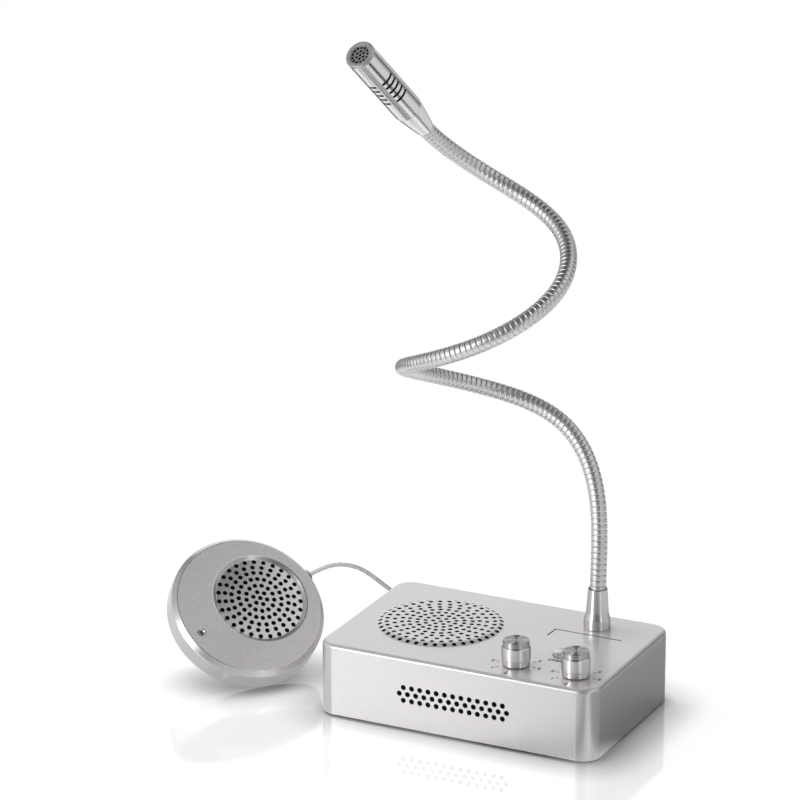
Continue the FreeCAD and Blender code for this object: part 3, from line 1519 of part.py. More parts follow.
def make_tie():
    """Strap round the wound cord."""
    inner = S.coil_outer_radius - (COIL_TURNS / COIL_LAYERS) * S.coil_pitch
    near = inner - S.cord_radius - S.tie_side_gap
    far = S.coil_outer_radius + S.cord_radius + S.tie_side_gap
    top_gap = S.coil_lift - S.tie_thickness
    window_top = coil_high + S.cord_radius + top_gap
    length = far - near + 2 * S.tie_thickness
    outer = primitive("Box", near - S.tie_thickness, -S.tie_width / 2, Length=length, Width=S.tie_width,
                      Height=window_top + S.tie_thickness)
    window = primitive("Box", near, -S.tie_width / 2, S.tie_thickness, Length=far - near,
                       Width=S.tie_width, Height=window_top - S.tie_thickness)
    return cut("cord_tie", outer, window)


def make_cord():
    """Thin cord from the pod to its plug in the rear of the counter unit."""
    for name, route in (("cord_from_pod", ROUTE_FROM_POD), ("cord_to_plug", ROUTE_TO_PLUG)):
        edges, radii = route_edges(route)
        print(name, "radii", " ".join("%.1f" % radius for radius in radii))
        keep_in(Placement(), feature(name, tube(edges, S.cord_radius)), name)
    keep_in(Placement(), feature("cord_coil", make_coil()), "cord_coil")
    standing = Placement(Vector(S.coil_x, S.coil_y, 0), Rotation(UP, S.tie_turn))
    keep_in(standing, make_tie(), "cord_tie")

    tip = S.plug_length
    plug = lathe(
        "pod_plug",
        (0, 0),
        (S.plug_radius - S.plug_bevel, 0),
        (S.plug_radius, S.plug_bevel),
        (S.plug_radius, tip - S.plug_bevel),
        (S.plug_radius - S.plug_bevel, tip),
        (S.plug_relief_radius, tip),
        (S.plug_relief_end_radius, tip + S.plug_relief_length),
        (0, tip + S.plug_relief_length),
    )
    rearward = Rotation(Vector(1, 0, 0), -90)
    seat = Placement(Vector(plug_x, S.unit_y + rear_face + S.plug_gap, S.pod_jack_z), rearward)
    keep_in(seat, plug, "pod_plug")
    pin = lathe(
        "pod_plug_pin",
        (0, -S.plug_pin_length),
        (S.plug_pin_radius, -S.plug_pin_length),
        (S.plug_pin_radius, 0),
        (0, 0),
    )
    keep_in(seat, pin, "pod_plug_pin")


make_case()
make_speaker()
make_electronics()
make_controls()
make_jacks()
make_neck()
make_microphone()
make_pod()
make_cord()
doc.recompute()

for thing in doc.Objects:
    if "Invalid" in thing.State or "Error" in thing.State:
        raise SystemExit("failed: " + thing.Label)
for piece in parts:
    if piece.Shape.isNull() or not piece.Shape.isValid():
        raise SystemExit("bad shape: " + piece.Label)

os.makedirs("parts", exist_ok=True)
for piece in parts:
    piece.Shape.exportStep("parts/" + piece.Label + ".step")
print("sub-parts", len(parts))
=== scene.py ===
import json
from math import atan2, cos, pi, radians, sin, sqrt, tan

import bmesh
import bpy
from mathutils import Matrix, Vector
from mathutils.geometry import delaunay_2d_cdt

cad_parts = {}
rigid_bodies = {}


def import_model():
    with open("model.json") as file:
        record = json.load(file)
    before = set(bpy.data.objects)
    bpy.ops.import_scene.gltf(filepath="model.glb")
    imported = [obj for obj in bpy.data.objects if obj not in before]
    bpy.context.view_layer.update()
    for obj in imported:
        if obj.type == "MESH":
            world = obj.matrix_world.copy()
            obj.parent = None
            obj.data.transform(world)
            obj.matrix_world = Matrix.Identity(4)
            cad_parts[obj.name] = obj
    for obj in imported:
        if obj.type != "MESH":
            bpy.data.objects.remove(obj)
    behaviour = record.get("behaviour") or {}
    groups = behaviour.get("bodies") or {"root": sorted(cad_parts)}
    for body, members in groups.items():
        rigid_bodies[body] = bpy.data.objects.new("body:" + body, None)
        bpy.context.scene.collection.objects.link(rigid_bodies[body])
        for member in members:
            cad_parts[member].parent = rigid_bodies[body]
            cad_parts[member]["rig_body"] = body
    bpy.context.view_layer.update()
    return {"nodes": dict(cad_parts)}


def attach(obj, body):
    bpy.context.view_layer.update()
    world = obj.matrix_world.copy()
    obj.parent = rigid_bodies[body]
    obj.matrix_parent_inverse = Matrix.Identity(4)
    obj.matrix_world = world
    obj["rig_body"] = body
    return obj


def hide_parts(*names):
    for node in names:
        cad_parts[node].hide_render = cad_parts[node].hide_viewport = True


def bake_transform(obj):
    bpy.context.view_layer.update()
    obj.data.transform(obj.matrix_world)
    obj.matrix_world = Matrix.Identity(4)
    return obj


# A teller window intercom: a silver counter unit with a microphone on a chromed flexible neck, and a
# round pod for the customer's side of the glass on a thin clear cord. Sizes are metres, written in
# millimetres times mm. The counter is at z = 0.
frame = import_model()
scene = bpy.context.scene
mm = 0.001


# Studio. A sheet of grey board that the camera sees as white, under one large softbox at the left, with
# two upright strips that draw the long highlights on the chrome. The room round it has white walls with
# black flags between them, and those are the chrome's dark streaks.
def linear(code):
    """Turn an sRGB hex colour into the linear colour that a shader takes."""
    values = [int(code[at:at + 2], 16) / 255 for at in (1, 3, 5)]
    return [v / 12.92 if v <= 0.04045 else ((v + 0.055) / 1.055) ** 2.4 for v in values] + [1.0]


def add_node(tree, kind, inputs=None, **settings):
    """Add a node with its settings, and give each of its inputs a value or a link."""
    made = tree.nodes.new(kind)
    for name, value in settings.items():
        setattr(made, name, value)
    for name, value in (inputs or {}).items():
        if isinstance(value, bpy.types.NodeSocket):
            tree.links.new(value, made.inputs[name])
        else:
            made.inputs[name].default_value = value
    return made


def new_material(name, **values):
    """Start a material whose shader carries plain values on its own sockets."""
    made = bpy.data.materials.new(name)
    made.use_nodes = True
    shader = made.node_tree.nodes["Principled BSDF"]
    for socket, value in values.items():
        shader.inputs[socket.replace("_", " ").title().replace("Ior", "IOR")].default_value = value
    return made


def linked(name, data):
    """Put data into the scene as an object."""
    made = bpy.data.objects.new(name, data)
    scene.collection.objects.link(made)
    return made


def set_greys(ramp, start_grey, stops):
    """Give a colour ramp a grey at its start and at each stop."""
    ramp.elements.remove(ramp.elements[1])
    ramp.elements[0].color = (start_grey, start_grey, start_grey, 1)
    for place, grey in stops:
        ramp.elements.new(place).color = (grey, grey, grey, 1)


# where the camera stands, what it looks at and its compass angle, from a fit to the case's straight edges
eye, aim = Vector((0.98431, -2.02181, 0.93133)), Vector((-0.22165, 0.43703, 0.001))
camera_side = atan2(eye.y - aim.y, eye.x - aim.x)

# satin board, mid grey to the light that falls on the object, and white to the camera but for its shadow:
# the board's own real shadow, under a painted shadow in its glow that ambient occlusion darkens round the
# object, deepest where it touches; to metal the board glows with painted reflections, pale from afar, and
# from close by grey in front and at the left, dark at the right, with one dark and one bright streak between
sweep = new_material("satin_board", base_color=linear("#9e9e9e"), roughness=0.08, ior=2.1)
tree = sweep.node_tree
board = tree.nodes["Principled BSDF"]
streak_way, streaks_from, streaks_to = (0.707, 0.707, 0), -0.1, 0.15
close_by, from_afar, afar_grey = 0.13, 0.22, 0.7
shadow_reach, shadow_power, contact_reach, board_glow = 0.03, 2.2, 0.007, 0.56
fade_from, fade_to = 0.16, 0.29
rays = add_node(tree, "ShaderNodeLightPath")
where = add_node(tree, "ShaderNodeTexCoord")
in_metal = add_node(tree, "ShaderNodeMath",
                    {0: rays.outputs["Is Glossy Ray"], 1: rays.outputs["Is Transmission Ray"]},
                    operation="MAXIMUM")
across = add_node(tree, "ShaderNodeVectorMath", {0: where.outputs["Object"], 1: streak_way},
                  operation="DOT_PRODUCT")
rightward = add_node(tree, "ShaderNodeMapRange",
                     {"Value": across.outputs["Value"], "From Min": streaks_from, "From Max": streaks_to})
# painted reflection: grey, dark and bright streaks that only metal sees on the board, with no lamp behind
# them
painted_streaks = add_node(tree, "ShaderNodeValToRGB", {"Fac": rightward.outputs[0]})
set_greys(painted_streaks.color_ramp, 0.4,
          ((0.4, 0.4), (0.46, 0.0), (0.54, 0.0), (0.6, 0.8), (0.66, 0.8), (0.74, 0.0)))
afar = add_node(tree, "ShaderNodeMapRange",
                {"Value": rays.outputs["Ray Length"], "From Min": close_by, "From Max": from_afar})
painted_reflection_tones = add_node(tree, "ShaderNodeMix",
                 {0: afar.outputs[0], 6: painted_streaks.outputs["Color"], 7: (afar_grey, afar_grey, afar_grey, 1)},
                 data_type="RGBA")
painted_reflection = add_node(tree, "ShaderNodeMath", {0: in_metal.outputs[0], 1: painted_reflection_tones.outputs[2]},
                    operation="MULTIPLY")
# painted shadow: the glow that the camera sees is darkened by ambient occlusion near the object, darker still
# where it touches
sheltered = add_node(tree, "ShaderNodeAmbientOcclusion", {"Distance": shadow_reach}, samples=8)
shadow = add_node(tree, "ShaderNodeMath", {0: sheltered.outputs["AO"], 1: shadow_power}, operation="POWER")
painted_contact_shadow = add_node(tree, "ShaderNodeAmbientOcclusion", {"Distance": contact_reach}, samples=8)
lit = rays.outputs["Is Camera Ray"]
for factor in (shadow.outputs[0], painted_contact_shadow.outputs["AO"], board_glow):
    lit = add_node(tree, "ShaderNodeMath", {0: lit, 1: factor}, operation="MULTIPLY").outputs[0]
strength = add_node(tree, "ShaderNodeMath", {0: lit, 1: painted_reflection.outputs[0]}, operation="ADD")
glow = add_node(tree, "ShaderNodeEmission", {"Strength": strength.outputs[0]})
close_floor = add_node(tree, "ShaderNodeAddShader", {0: board.outputs[0], 1: glow.outputs[0]})
seen = add_node(tree, "ShaderNodeMath", {0: rays.outputs["Is Camera Ray"], 1: painted_reflection.outputs[0]},
                operation="MAXIMUM")
away = add_node(tree, "ShaderNodeVectorMath", {0: where.outputs["Object"]}, operation="LENGTH")
fading = add_node(tree, "ShaderNodeMapRange",
                  {"Value": away.outputs["Value"], "From Min": fade_from, "From Max": fade_to},
                  interpolation_type="SMOOTHSTEP")
share = add_node(tree, "ShaderNodeMath", {0: seen.outputs[0], 1: fading.outputs[0]}, operation="MULTIPLY")
far_floor = add_node(tree, "ShaderNodeEmission")
mixed = add_node(tree, "ShaderNodeMixShader",
                 {0: share.outputs[0], 1: close_floor.outputs[0], 2: far_floor.outputs[0]})
tree.links.new(mixed.outputs[0], tree.nodes["Material Output"].inputs["Surface"])

sheet_way = Matrix.Rotation(camera_side, 3, "Z")
sheet_front, sheet_back, sheet_half = 1.2, -0.36, 0.3
sheet_corners = [sheet_way @ Vector((along, side * sheet_half, 0)) for along, side in (
    (sheet_front, -1), (sheet_front, 1), (sheet_back, 1), (sheet_back, -1))]
floor_mesh = bpy.data.meshes.new("studio_floor")
floor_mesh.from_pydata(sheet_corners, [], [(0, 1, 2, 3)])
floor_mesh.materials.append(sweep)
studio_floor = linked("studio_floor", floor_mesh)

# the room, once round from behind the object, by the image's left, the camera and its right, at three
# heights: the walls, the ceiling, which is dark from back to front, and the counter beyond the board;
# straight overhead and underneath it is dark
world = bpy.data.worlds.new("soft_studio")
scene.world = world
world.use_nodes = True
tree = world.node_tree
tree.nodes.clear()
way = add_node(tree, "ShaderNodeTexCoord")
faced = add_node(tree, "ShaderNodeMapping",
                 {"Vector": way.outputs["Generated"], "Rotation": (0, 0, -camera_side)})
compass = add_node(tree, "ShaderNodeTexGradient", {"Vector": faced.outputs[0]}, gradient_type="RADIAL")
bands = []
for start_grey, stops in (
        (1.0, ((0.055, 1.0), (0.075, 0.06), (0.115, 0.06), (0.15, 0.85), (0.33, 0.95), (0.42, 0.35),
               (0.47, 0.08), (0.53, 0.08), (0.57, 0.35), (0.64, 0.35), (0.70, 0.5), (0.79, 0.5),
               (0.815, 0.06), (0.885, 0.06), (0.9, 0.8), (0.925, 0.8), (0.93, 0.06), (0.94, 0.06),
               (0.945, 1.0))),
        (0.03, ((0.06, 0.03), (0.12, 0.35), (0.38, 0.35), (0.44, 0.03), (0.56, 0.03), (0.61, 0.95),
                (0.84, 0.95), (0.92, 0.03))),
        (0.05, ((0.07, 0.05), (0.1, 0.25), (0.2, 0.25), (0.27, 0.7), (0.42, 0.7), (0.47, 0.3), (0.53, 0.3),
                (0.58, 0.8), (0.93, 0.8), (0.96, 0.05)))):
    toned = add_node(tree, "ShaderNodeValToRGB", {"Fac": compass.outputs["Fac"]})
    set_greys(toned.color_ramp, start_grey, stops)
    bands.append(toned.outputs["Color"])
walls, ceiling, counter = bands
overhead, underneath = (0.03, 0.03, 0.03, 1), (0.05, 0.05, 0.05, 1)
split = add_node(tree, "ShaderNodeSeparateXYZ", {0: way.outputs["Generated"]})
room_tone = walls
for tone, low, high in ((ceiling, 0.45, 0.62), (overhead, 0.87, 0.94), (counter, 0.0, -0.2),
                        (underneath, -0.56, -0.62)):
    height = add_node(tree, "ShaderNodeMapRange",
                      {"Value": split.outputs["Z"], "From Min": low, "From Max": high})
    room_tone = add_node(tree, "ShaderNodeMix", {0: height.outputs[0], 6: room_tone, 7: tone},
                         data_type="RGBA").outputs[2]
rays = add_node(tree, "ShaderNodeLightPath")
room = add_node(tree, "ShaderNodeBackground", {"Color": room_tone})
white = add_node(tree, "ShaderNodeBackground", {"Color": linear("#ffffff")})
shown = add_node(tree, "ShaderNodeMixShader",
                 {0: rays.outputs["Is Camera Ray"], 1: room.outputs[0], 2: white.outputs[0]})
add_node(tree, "ShaderNodeOutputWorld", {"Surface": shown.outputs[0]})


def softbox(name, place, target, length, width, power, in_mirrors=True):
    """Hang a rectangular lamp that looks at a point."""
    lamp = bpy.data.lights.new(name, "AREA")
    lamp.shape = "RECTANGLE"
    lamp.size, lamp.size_y, lamp.energy = length, width, power
    hung = linked(name, lamp)
    hung.location = place
    hung.rotation_euler = (Vector(target) - Vector(place)).to_track_quat("-Z", "Y").to_euler()
    hung.visible_glossy = in_mirrors


softbox("left_softbox", (-0.7, 0.25, 1.35), (0, 0, 0.05), 0.9, 0.9, 19.5, in_mirrors=False)
softbox("front_strip", (-0.7, -1.3, 0.55), (0, 0, 0.1), 0.4, 0.8, 6.5)
softbox("right_strip", (1.1, -0.6, 0.5), (0, 0, 0.15), 0.1, 0.9, 0.8)

camera_data = bpy.data.cameras.new("photo_camera")
camera_data.sensor_fit = "HORIZONTAL"
camera_data.sensor_width = 36.0
camera_data.lens = 196.44
camera = linked("photo_camera", camera_data)
camera.location = eye
camera.rotation_euler = (aim - eye).to_track_quat("-Z", "Y").to_euler()
scene.camera = camera
scene.view_settings.view_transform = "Standard"


# Cord. A thin two-core lead in a clear soft PVC jacket, extruded in one length. It arches from the pod
# down behind the unit, where its spare length is wound in a coil of four layers, and ends in the plug.
def link_to_shader(made, socket, output):
    """Lead a node's output into a socket of the material's shader."""
    made.node_tree.links.new(output, made.node_tree.nodes["Principled BSDF"].inputs[socket])


def give_grain(made, grain, rough, depth):
    """Vary a surface as its making left it: a grain size, its lowest and highest roughness, and how deep
    the grain stands, with lengths in millimetres."""
    tree = made.node_tree
    where = add_node(tree, "ShaderNodeTexCoord")
    noise = add_node(tree, "ShaderNodeTexNoise",
                     {"Vector": where.outputs["Object"], "Scale": 1 / (grain * mm), "Detail": 3.0,
                      "Roughness": 0.6})
    spread = add_node(tree, "ShaderNodeMapRange",
                      {"Value": noise.outputs["Fac"], "From Min": 0.3, "From Max": 0.7,
                       "To Min": rough[0], "To Max": rough[1]})
    link_to_shader(made, "Roughness", spread.outputs[0])
    if depth:
        bump = add_node(tree, "ShaderNodeBump", {"Height": noise.outputs["Fac"], "Distance": depth * mm})
        link_to_shader(made, "Normal", bump.outputs[0])


def grained(name, colour, grain, rough, depth, **values):
    """Make a material of one colour, with a grain and with plain values on its own sockets."""
    made = new_material(name, base_color=linear(colour), **values)
    give_grain(made, grain, rough, depth)
    return made


# clear plasticised PVC over bright tinned cores: pale and glassy, with a soft shine along its length
clear_jacket = grained("clear_pvc_over_tinned_copper", "#f4f4f6", 0.9, (0.12, 0.22), 0, ior=1.53,
                       transmission_weight=0.55, coat_weight=0.6)


def points_at(points):
    """Turn millimetre triples into places."""
    return [Vector(point) * mm for point in points]


def polar(radius, angle):
    """Give the x and y of a place at a radius and an angle."""
    return radius * cos(angle), radius * sin(angle)


cord_radius = 1.3
coil_middle = Vector((10.0, 75.0, 0))
coil_turns, coil_layers = 13, 4
coil_outer, coil_pitch, coil_top, reversal = 20.2, 3.1, 11.4, 0.5
points_per_turn = 16


def coil_point(turn):
    """Place of the coil's line after some turns, clockwise from the outer end of its top layer."""
    layer_turns = coil_turns / coil_layers
    steps = 400
    radius = coil_outer
    for step in range(steps if turn else 0):
        at = (step + 0.5) * turn / steps
        layer = min(int(at // layer_turns), coil_layers - 1)
        into = at - layer * layer_turns if layer > 0 else reversal
        left = (layer + 1) * layer_turns - at if layer < coil_layers - 1 else reversal
        slope = min(1, into / (reversal / 2), left / (reversal / 2))
        radius += (1 if layer % 2 else -1) * slope * coil_pitch * turn / steps
    height = coil_top
    for climb in range(1, coil_layers):
        done = max(0, min(1, (turn - climb * layer_turns) / reversal + 0.5))
        height -= coil_pitch * done * done * (3 - 2 * done)
    angle = pi / 2 - 2 * pi * turn
    return coil_middle + Vector((*polar(radius, angle), height))


def coil_way(turn):
    """Direction of the coil's line at one of its ends."""
    nudge = 0.001 if turn == 0 else -0.001
    return ((coil_point(turn + nudge) - coil_point(turn)) * (1 if turn == 0 else -1)).normalized()


cord_exit = Vector((-76.12, 22.76, 44.47))
exit_way = Vector((0.396, 0.890, 0.226)).normalized()
plug_tail = Vector((73.0, 72.85, 10.0))
cord_points = [
    cord_exit,
    cord_exit + exit_way * 12,
    Vector((-64.5, 44.5, 46.2)),
    Vector((-58.5, 57.5, 39.2)),
    Vector((-53.0, 69.5, 27.5)),
    Vector((-45.5, 80.5, 15.5)),
    Vector((-32.5, 90.0, 11.8)),
    coil_point(0) - coil_way(0) * 22.6,
]
cord_points += [coil_point(number / points_per_turn) for number in range(coil_turns * points_per_turn + 1)]
cord_points += [
    coil_point(coil_turns) + coil_way(coil_turns) * 15.0,
    Vector((38.5, 97.0, 1.5)),
    Vector((52.5, 100.0, 1.4)),
    Vector((65.5, 98.0, 3.0)),
    Vector((72.2, 89.0, 7.8)),
    plug_tail + Vector((0, 7.6, 0)),
    plug_tail,
]


def smooth_line(name, points, order, fineness):
    """Draw one open curve whose control points are the given places."""
    data = bpy.data.curves.new(name, "CURVE")
    data.dimensions = "3D"
    line = data.splines.new("NURBS")
    line.points.add(len(points) - 1)
    for point, place in zip(line.points, points):
        point.co = (*place, 1)
    line.order_u = order
    line.use_endpoint_u = True
    line.resolution_u = fineness
    data.resolution_u = fineness
    return data


cord_data = smooth_line("pod_cord", points_at(cord_points), 3, 4)
cord_data.bevel_depth = cord_radius * mm
cord_data.bevel_resolution = 4
cord_data.use_fill_caps = True
cord_data.materials.append(clear_jacket)
pod_cord = linked("pod_cord", cord_data)
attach(pod_cord, "root")
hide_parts("cord_from_pod", "cord_coil", "cord_to_plug")


# Case. One drawing of 1.5 mm steel sheet with its raised grille, pierced on a turret press and sprayed in
# a fine satin silver lacquer. The marks on its deck are screen-printed.
on_axis = 0.001


def softened(outline, radius, steps=4):
    """Round an outline's corners to about a radius, all but its ends and those on the axis. A curve takes
    up 0.45 of a side at most."""
    places = [Vector(corner) for corner in outline]
    rounded = [places[0]]
    for before, corner, after in zip(places, places[1:], places[2:]):
        come, go = corner - before, after - corner
        if corner.x < on_axis:
            rounded.append(corner)
            continue
        reach = min(radius * tan(come.angle(go) / 2), 0.45 * come.length, 0.45 * go.length)
        enter, leave = corner - come.normalized() * reach, corner + go.normalized() * reach
        for step in range(steps + 1):
            share = step / steps
            rounded.append(enter * (1 - share) ** 2 + corner * 2 * share * (1 - share) + leave * share ** 2)
    return rounded + [places[-1]]


def turned(outline, steps=96):
    """Turn an outline of (radius, height) in millimetres about the upright axis into a closed shape. An
    outline that starts off the axis is closed on itself."""
    shape = bmesh.new()
    rings = []
    for radius, height in outline:
        around = steps if radius > on_axis else 1
        angles = [2 * pi * step / steps for step in range(around)]
        rings.append([shape.verts.new((*polar(radius * mm, angle), height * mm)) for angle in angles])
    pairs = list(zip(rings, rings[1:]))
    if len(rings[0]) > 1 and len(rings[-1]) > 1:
        pairs.append((rings[-1], rings[0]))
    for low, high in pairs:
        for step in range(steps if len(low) + len(high) > 2 else 0):
            corners = []
            for corner in (low[step % len(low)], low[(step + 1) % len(low)],
                           high[(step + 1) % len(high)], high[step % len(high)]):
                if corner not in corners:
                    corners.append(corner)
            shape.faces.new(corners)
    bmesh.ops.recalc_face_normals(shape, faces=shape.faces)
    return shape


def stood(name, shape, place=Matrix.Identity(4)):
    """Make a shape an object whose place is in its mesh."""
    shape.transform(place)
    mesh = bpy.data.meshes.new(name)
    shape.to_mesh(mesh)
    shape.free()
    return linked(name, mesh)


def evaluated(piece):
    """Make a piece's modifiers part of its mesh."""
    graph = bpy.context.evaluated_depsgraph_get()
    mesh = bpy.data.meshes.new_from_object(piece.evaluated_get(graph))
    piece.modifiers.clear()
    piece.data = mesh


# wall of a drilled hole, near black: painted shade for the inside of the hole, where little light reaches
bore_painted_shade = grained("blackened_bore", "#0e0e0f", 0.2, (0.6, 0.8), 0, ior=1.5)


def settled(piece, finish, degrees=35):
    """Give a piece its material with the painted shade of its hole walls, and shade it smooth up to an angle
    with flat faces kept flat.
    """
    evaluated(piece)
    mesh = piece.data
    bores = [number for number, held in enumerate(mesh.materials) if held == bore_painted_shade]
    walls = [face.material_index in bores for face in mesh.polygons]
    mesh.materials.clear()
    mesh.materials.append(finish)
    if any(walls):
        mesh.materials.append(bore_painted_shade)
    mesh.polygons.foreach_set("material_index", [int(wall) for wall in walls])
    mesh.polygons.foreach_set("use_smooth", [True] * len(mesh.polygons))
    mesh.set_sharp_from_angle(angle=radians(degrees))
    piece.modifiers.new("flat_faces", "WEIGHTED_NORMAL").keep_sharp = True
    evaluated(piece)


def finished(piece, finish, body, slot, *nodes):
    """Settle a piece in its finish, let it ride on a body, and hide the CAD nodes that it stands for. The
    slot is not used."""
    settled(piece, finish)
    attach(piece, body)
    if nodes:
        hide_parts(*nodes)


def tree_with(name, *inputs):
    """Start a Geometry Nodes tree with named inputs, and give the tree and those inputs."""
    tree = bpy.data.node_groups.new(name, "GeometryNodeTree")
    tree.interface.new_socket("Geometry", in_out="OUTPUT", socket_type="NodeSocketGeometry")
    for label, kind in (("Geometry", "Geometry"), *inputs):
        tree.interface.new_socket(label, in_out="INPUT", socket_type="NodeSocket" + kind)
    return tree, add_node(tree, "NodeGroupInput").outputs


def close_tree(tree, shape, finish, chosen=True):
    """End a tree in real geometry with its material, on all faces or on the chosen ones."""
    real = add_node(tree, "GeometryNodeRealizeInstances", {0: shape})
    coated = add_node(tree, "GeometryNodeSetMaterial",
                      {0: real.outputs[0], "Selection": chosen, "Material": finish})
    add_node(tree, "NodeGroupOutput", {0: coated.outputs[0]})


def grow(piece, tree, **values):
    """Run a tree on a piece with these values for its inputs."""
    modifier = piece.modifiers.new(tree.name, "NODES")
    modifier.node_group = tree
    for socket in tree.interface.items_tree:
        label = socket.name.lower().replace(" ", "_")
        if socket.in_out == "INPUT" and label in values:
            modifier[socket.identifier] = values[label]
    evaluated(piece)


# holes pierced through a wall: one drill on every spot, as wide as the spot says
piercing, given = tree_with("pierced_holes", ("Spots", "Object"), ("Depth", "Float"), ("Sides", "Int"),
                            ("Drill turn", "Vector"), ("Finish", "Material"), ("Bore finish", "Material"))
spots = add_node(piercing, "GeometryNodeObjectInfo", {"Object": given["Spots"]})
width = add_node(piercing, "GeometryNodeInputNamedAttribute", {"Name": "hole_radius"}, data_type="FLOAT")
drill = add_node(piercing, "GeometryNodeMeshCylinder",
                 {"Vertices": given["Sides"], "Radius": 1.0, "Depth": given["Depth"]})
turn = add_node(piercing, "FunctionNodeEulerToRotation", {0: given["Drill turn"]})
wide = add_node(piercing, "ShaderNodeCombineXYZ", {"X": width.outputs[0], "Y": width.outputs[0], "Z": 1.0})
drills = add_node(piercing, "GeometryNodeInstanceOnPoints",
                  {"Points": spots.outputs["Geometry"], "Instance": drill.outputs["Mesh"],
                   "Rotation": turn.outputs[0], "Scale": wide.outputs[0]})
drills = add_node(piercing, "GeometryNodeRealizeInstances", {0: drills.outputs[0]})
# the drills' sides become the walls of the holes, in the bore finish's painted shade
drills = add_node(piercing, "GeometryNodeSetMaterial",
                  {0: drills.outputs[0], "Material": given["Bore finish"]})
pierced = add_node(piercing, "GeometryNodeMeshBoolean",
                   {"Mesh 1": given["Geometry"], "Mesh 2": drills.outputs[0]},
                   operation="DIFFERENCE", solver="EXACT")
wall_face = add_node(piercing, "GeometryNodeMaterialSelection", {"Material": given["Bore finish"]})
outside = add_node(piercing, "FunctionNodeBooleanMath", {0: wall_face.outputs[0]}, operation="NOT")
close_tree(piercing, pierced.outputs["Mesh"], given["Finish"], outside.outputs[0])


def pierce(piece, places, depth, turn, finish, frame_of, sides=20):
    """Drill a piece at (x, y, z, radius) places in millimetres, along a turned upright axis."""
    mesh = bpy.data.meshes.new("spots")
    mesh.from_pydata([frame_of @ (Vector(place[:3]) * mm) for place in places], [], [])
    mesh.attributes.new("hole_radius", "FLOAT", "POINT").data.foreach_set(
        "value", [place[3] * mm for place in places])
    marked = linked("spots", mesh)
    grow(piece, piercing, spots=marked, depth=depth * mm, sides=sides, drill_turn=turn, finish=finish,
         bore_finish=bore_painted_shade)
    bpy.data.objects.remove(marked)


def ring_places(field, shares, counts, turns):
    """Spread holes on rings, each ring turned by its own angle."""
    for share, count, turn in zip(shares, counts, turns):
        for number in range(count):
            yield polar(field * share, radians(turn + 360 * number / count))


# two-part metallic lacquer: aluminium flakes in a satin clear binder, a pale warm grey that brightens
# where it turns to a lamp, with a grain just fine enough to sparkle
silver_lacquer = new_material("satin_silver_lacquer", metallic=0.55, ior=1.5)
tree = silver_lacquer.node_tree
where = add_node(tree, "ShaderNodeTexCoord")
flakes = add_node(tree, "ShaderNodeTexVoronoi", {"Vector": where.outputs["Object"], "Scale": 1 / (0.3 * mm)})
flake_tone = add_node(tree, "ShaderNodeSeparateColor", {0: flakes.outputs["Color"]})
tone = add_node(tree, "ShaderNodeMix",
                {0: flake_tone.outputs[0], 6: linear("#d2cfd1"), 7: linear("#dbd8da")}, data_type="RGBA")
link_to_shader(silver_lacquer, "Base Color", tone.outputs[2])
give_grain(silver_lacquer, 0.5, (0.28, 0.34), 0.003)

unit_place = Matrix.Translation(Vector((53.0, -5.0, 0)) * mm)
case_length, case_width, case_low, deck = 165.0, 107.3, 1.0, 41.6
corner_radius, top_radius, wall = 10.4, 2.3, 1.5
corner_steps, bow_steps, rise_steps, grille_steps = 10, 7, 13, 144
grille_middle = Vector((-33.5, 1.5, 0))
grille_foot, grille_flat, grille_rise = 36.0, 31.0, 1.2
knobs, knob_y = (("inner", 28.7), ("outer", 63.9)), -34.7
button_middle, neck_middle = Vector((46.5, -11.0, 0)), Vector((46.1, 34.1, 0))


def rounded_loop(shape, inset, height):
    """Add the corners of the case's outline at an inset and a height."""
    radius = corner_radius - inset
    corners = []
    for quarter, (across, back) in enumerate(((1, 1), (-1, 1), (-1, -1), (1, -1))):
        for step in range(corner_steps + 1):
            angle = radians(90 * (quarter + step / corner_steps))
            corners.append(shape.verts.new(Vector((
                across * (case_length / 2 - corner_radius) + radius * cos(angle),
                back * (case_width / 2 - corner_radius) + radius * sin(angle),
                height,
            )) * mm))
    return corners


def bridge(shape, low, high):
    """Join two loops of as many corners with a band of faces."""
    for at in range(len(low)):
        after = (at + 1) % len(low)
        shape.faces.new((low[at], low[after], high[after], high[at]))


skin = bmesh.new()
loops = [rounded_loop(skin, 0, height) for height in (case_low, 20.0, deck - top_radius)]
for step in range(1, bow_steps + 1):
    bow = radians(90 * step / bow_steps)
    loops.append(rounded_loop(skin, top_radius * (1 - cos(bow)), deck - top_radius * (1 - sin(bow))))
rings = []
for number in range(rise_steps + 1):
    radius = grille_foot - (grille_foot - grille_flat) * number / rise_steps
    climb = number / rise_steps
    height = deck + grille_rise * climb * climb * (3 - 2 * climb)
    angles = [2 * pi * step / grille_steps for step in range(grille_steps)]
    rings.append([skin.verts.new((grille_middle + Vector((*polar(radius, angle), height))) * mm)
                  for angle in angles])
for low, high in [*zip(loops, loops[1:]), *zip(rings, rings[1:])]:
    bridge(skin, low, high)
skin.faces.new(rings[-1])
# the flat of the deck, between the case's edge and the grille's foot
edge = loops[-1] + rings[0]
count = len(loops[-1])
borders = [(at, (at + 1) % count) for at in range(count)]
borders += [(count + at, count + (at + 1) % grille_steps) for at in range(grille_steps)]
flat = delaunay_2d_cdt([(corner.co.x, corner.co.y) for corner in edge], borders, [], 1, 1e-9)
for face in flat[2]:
    corners = [edge[flat[3][at][0]] for at in face]
    middle = sum((corner.co for corner in corners), Vector()) / 3
    if (middle.xy - grille_middle.xy * mm).length > grille_foot * mm * 0.9999:
        skin.faces.new(corners)
bmesh.ops.recalc_face_normals(skin, faces=skin.faces)
case_cover = stood("case_cover", skin, unit_place)
sheet_steel = case_cover.modifiers.new("sheet_steel", "SOLIDIFY")
sheet_steel.thickness = wall * mm
sheet_steel.use_even_offset = True
evaluated(case_cover)

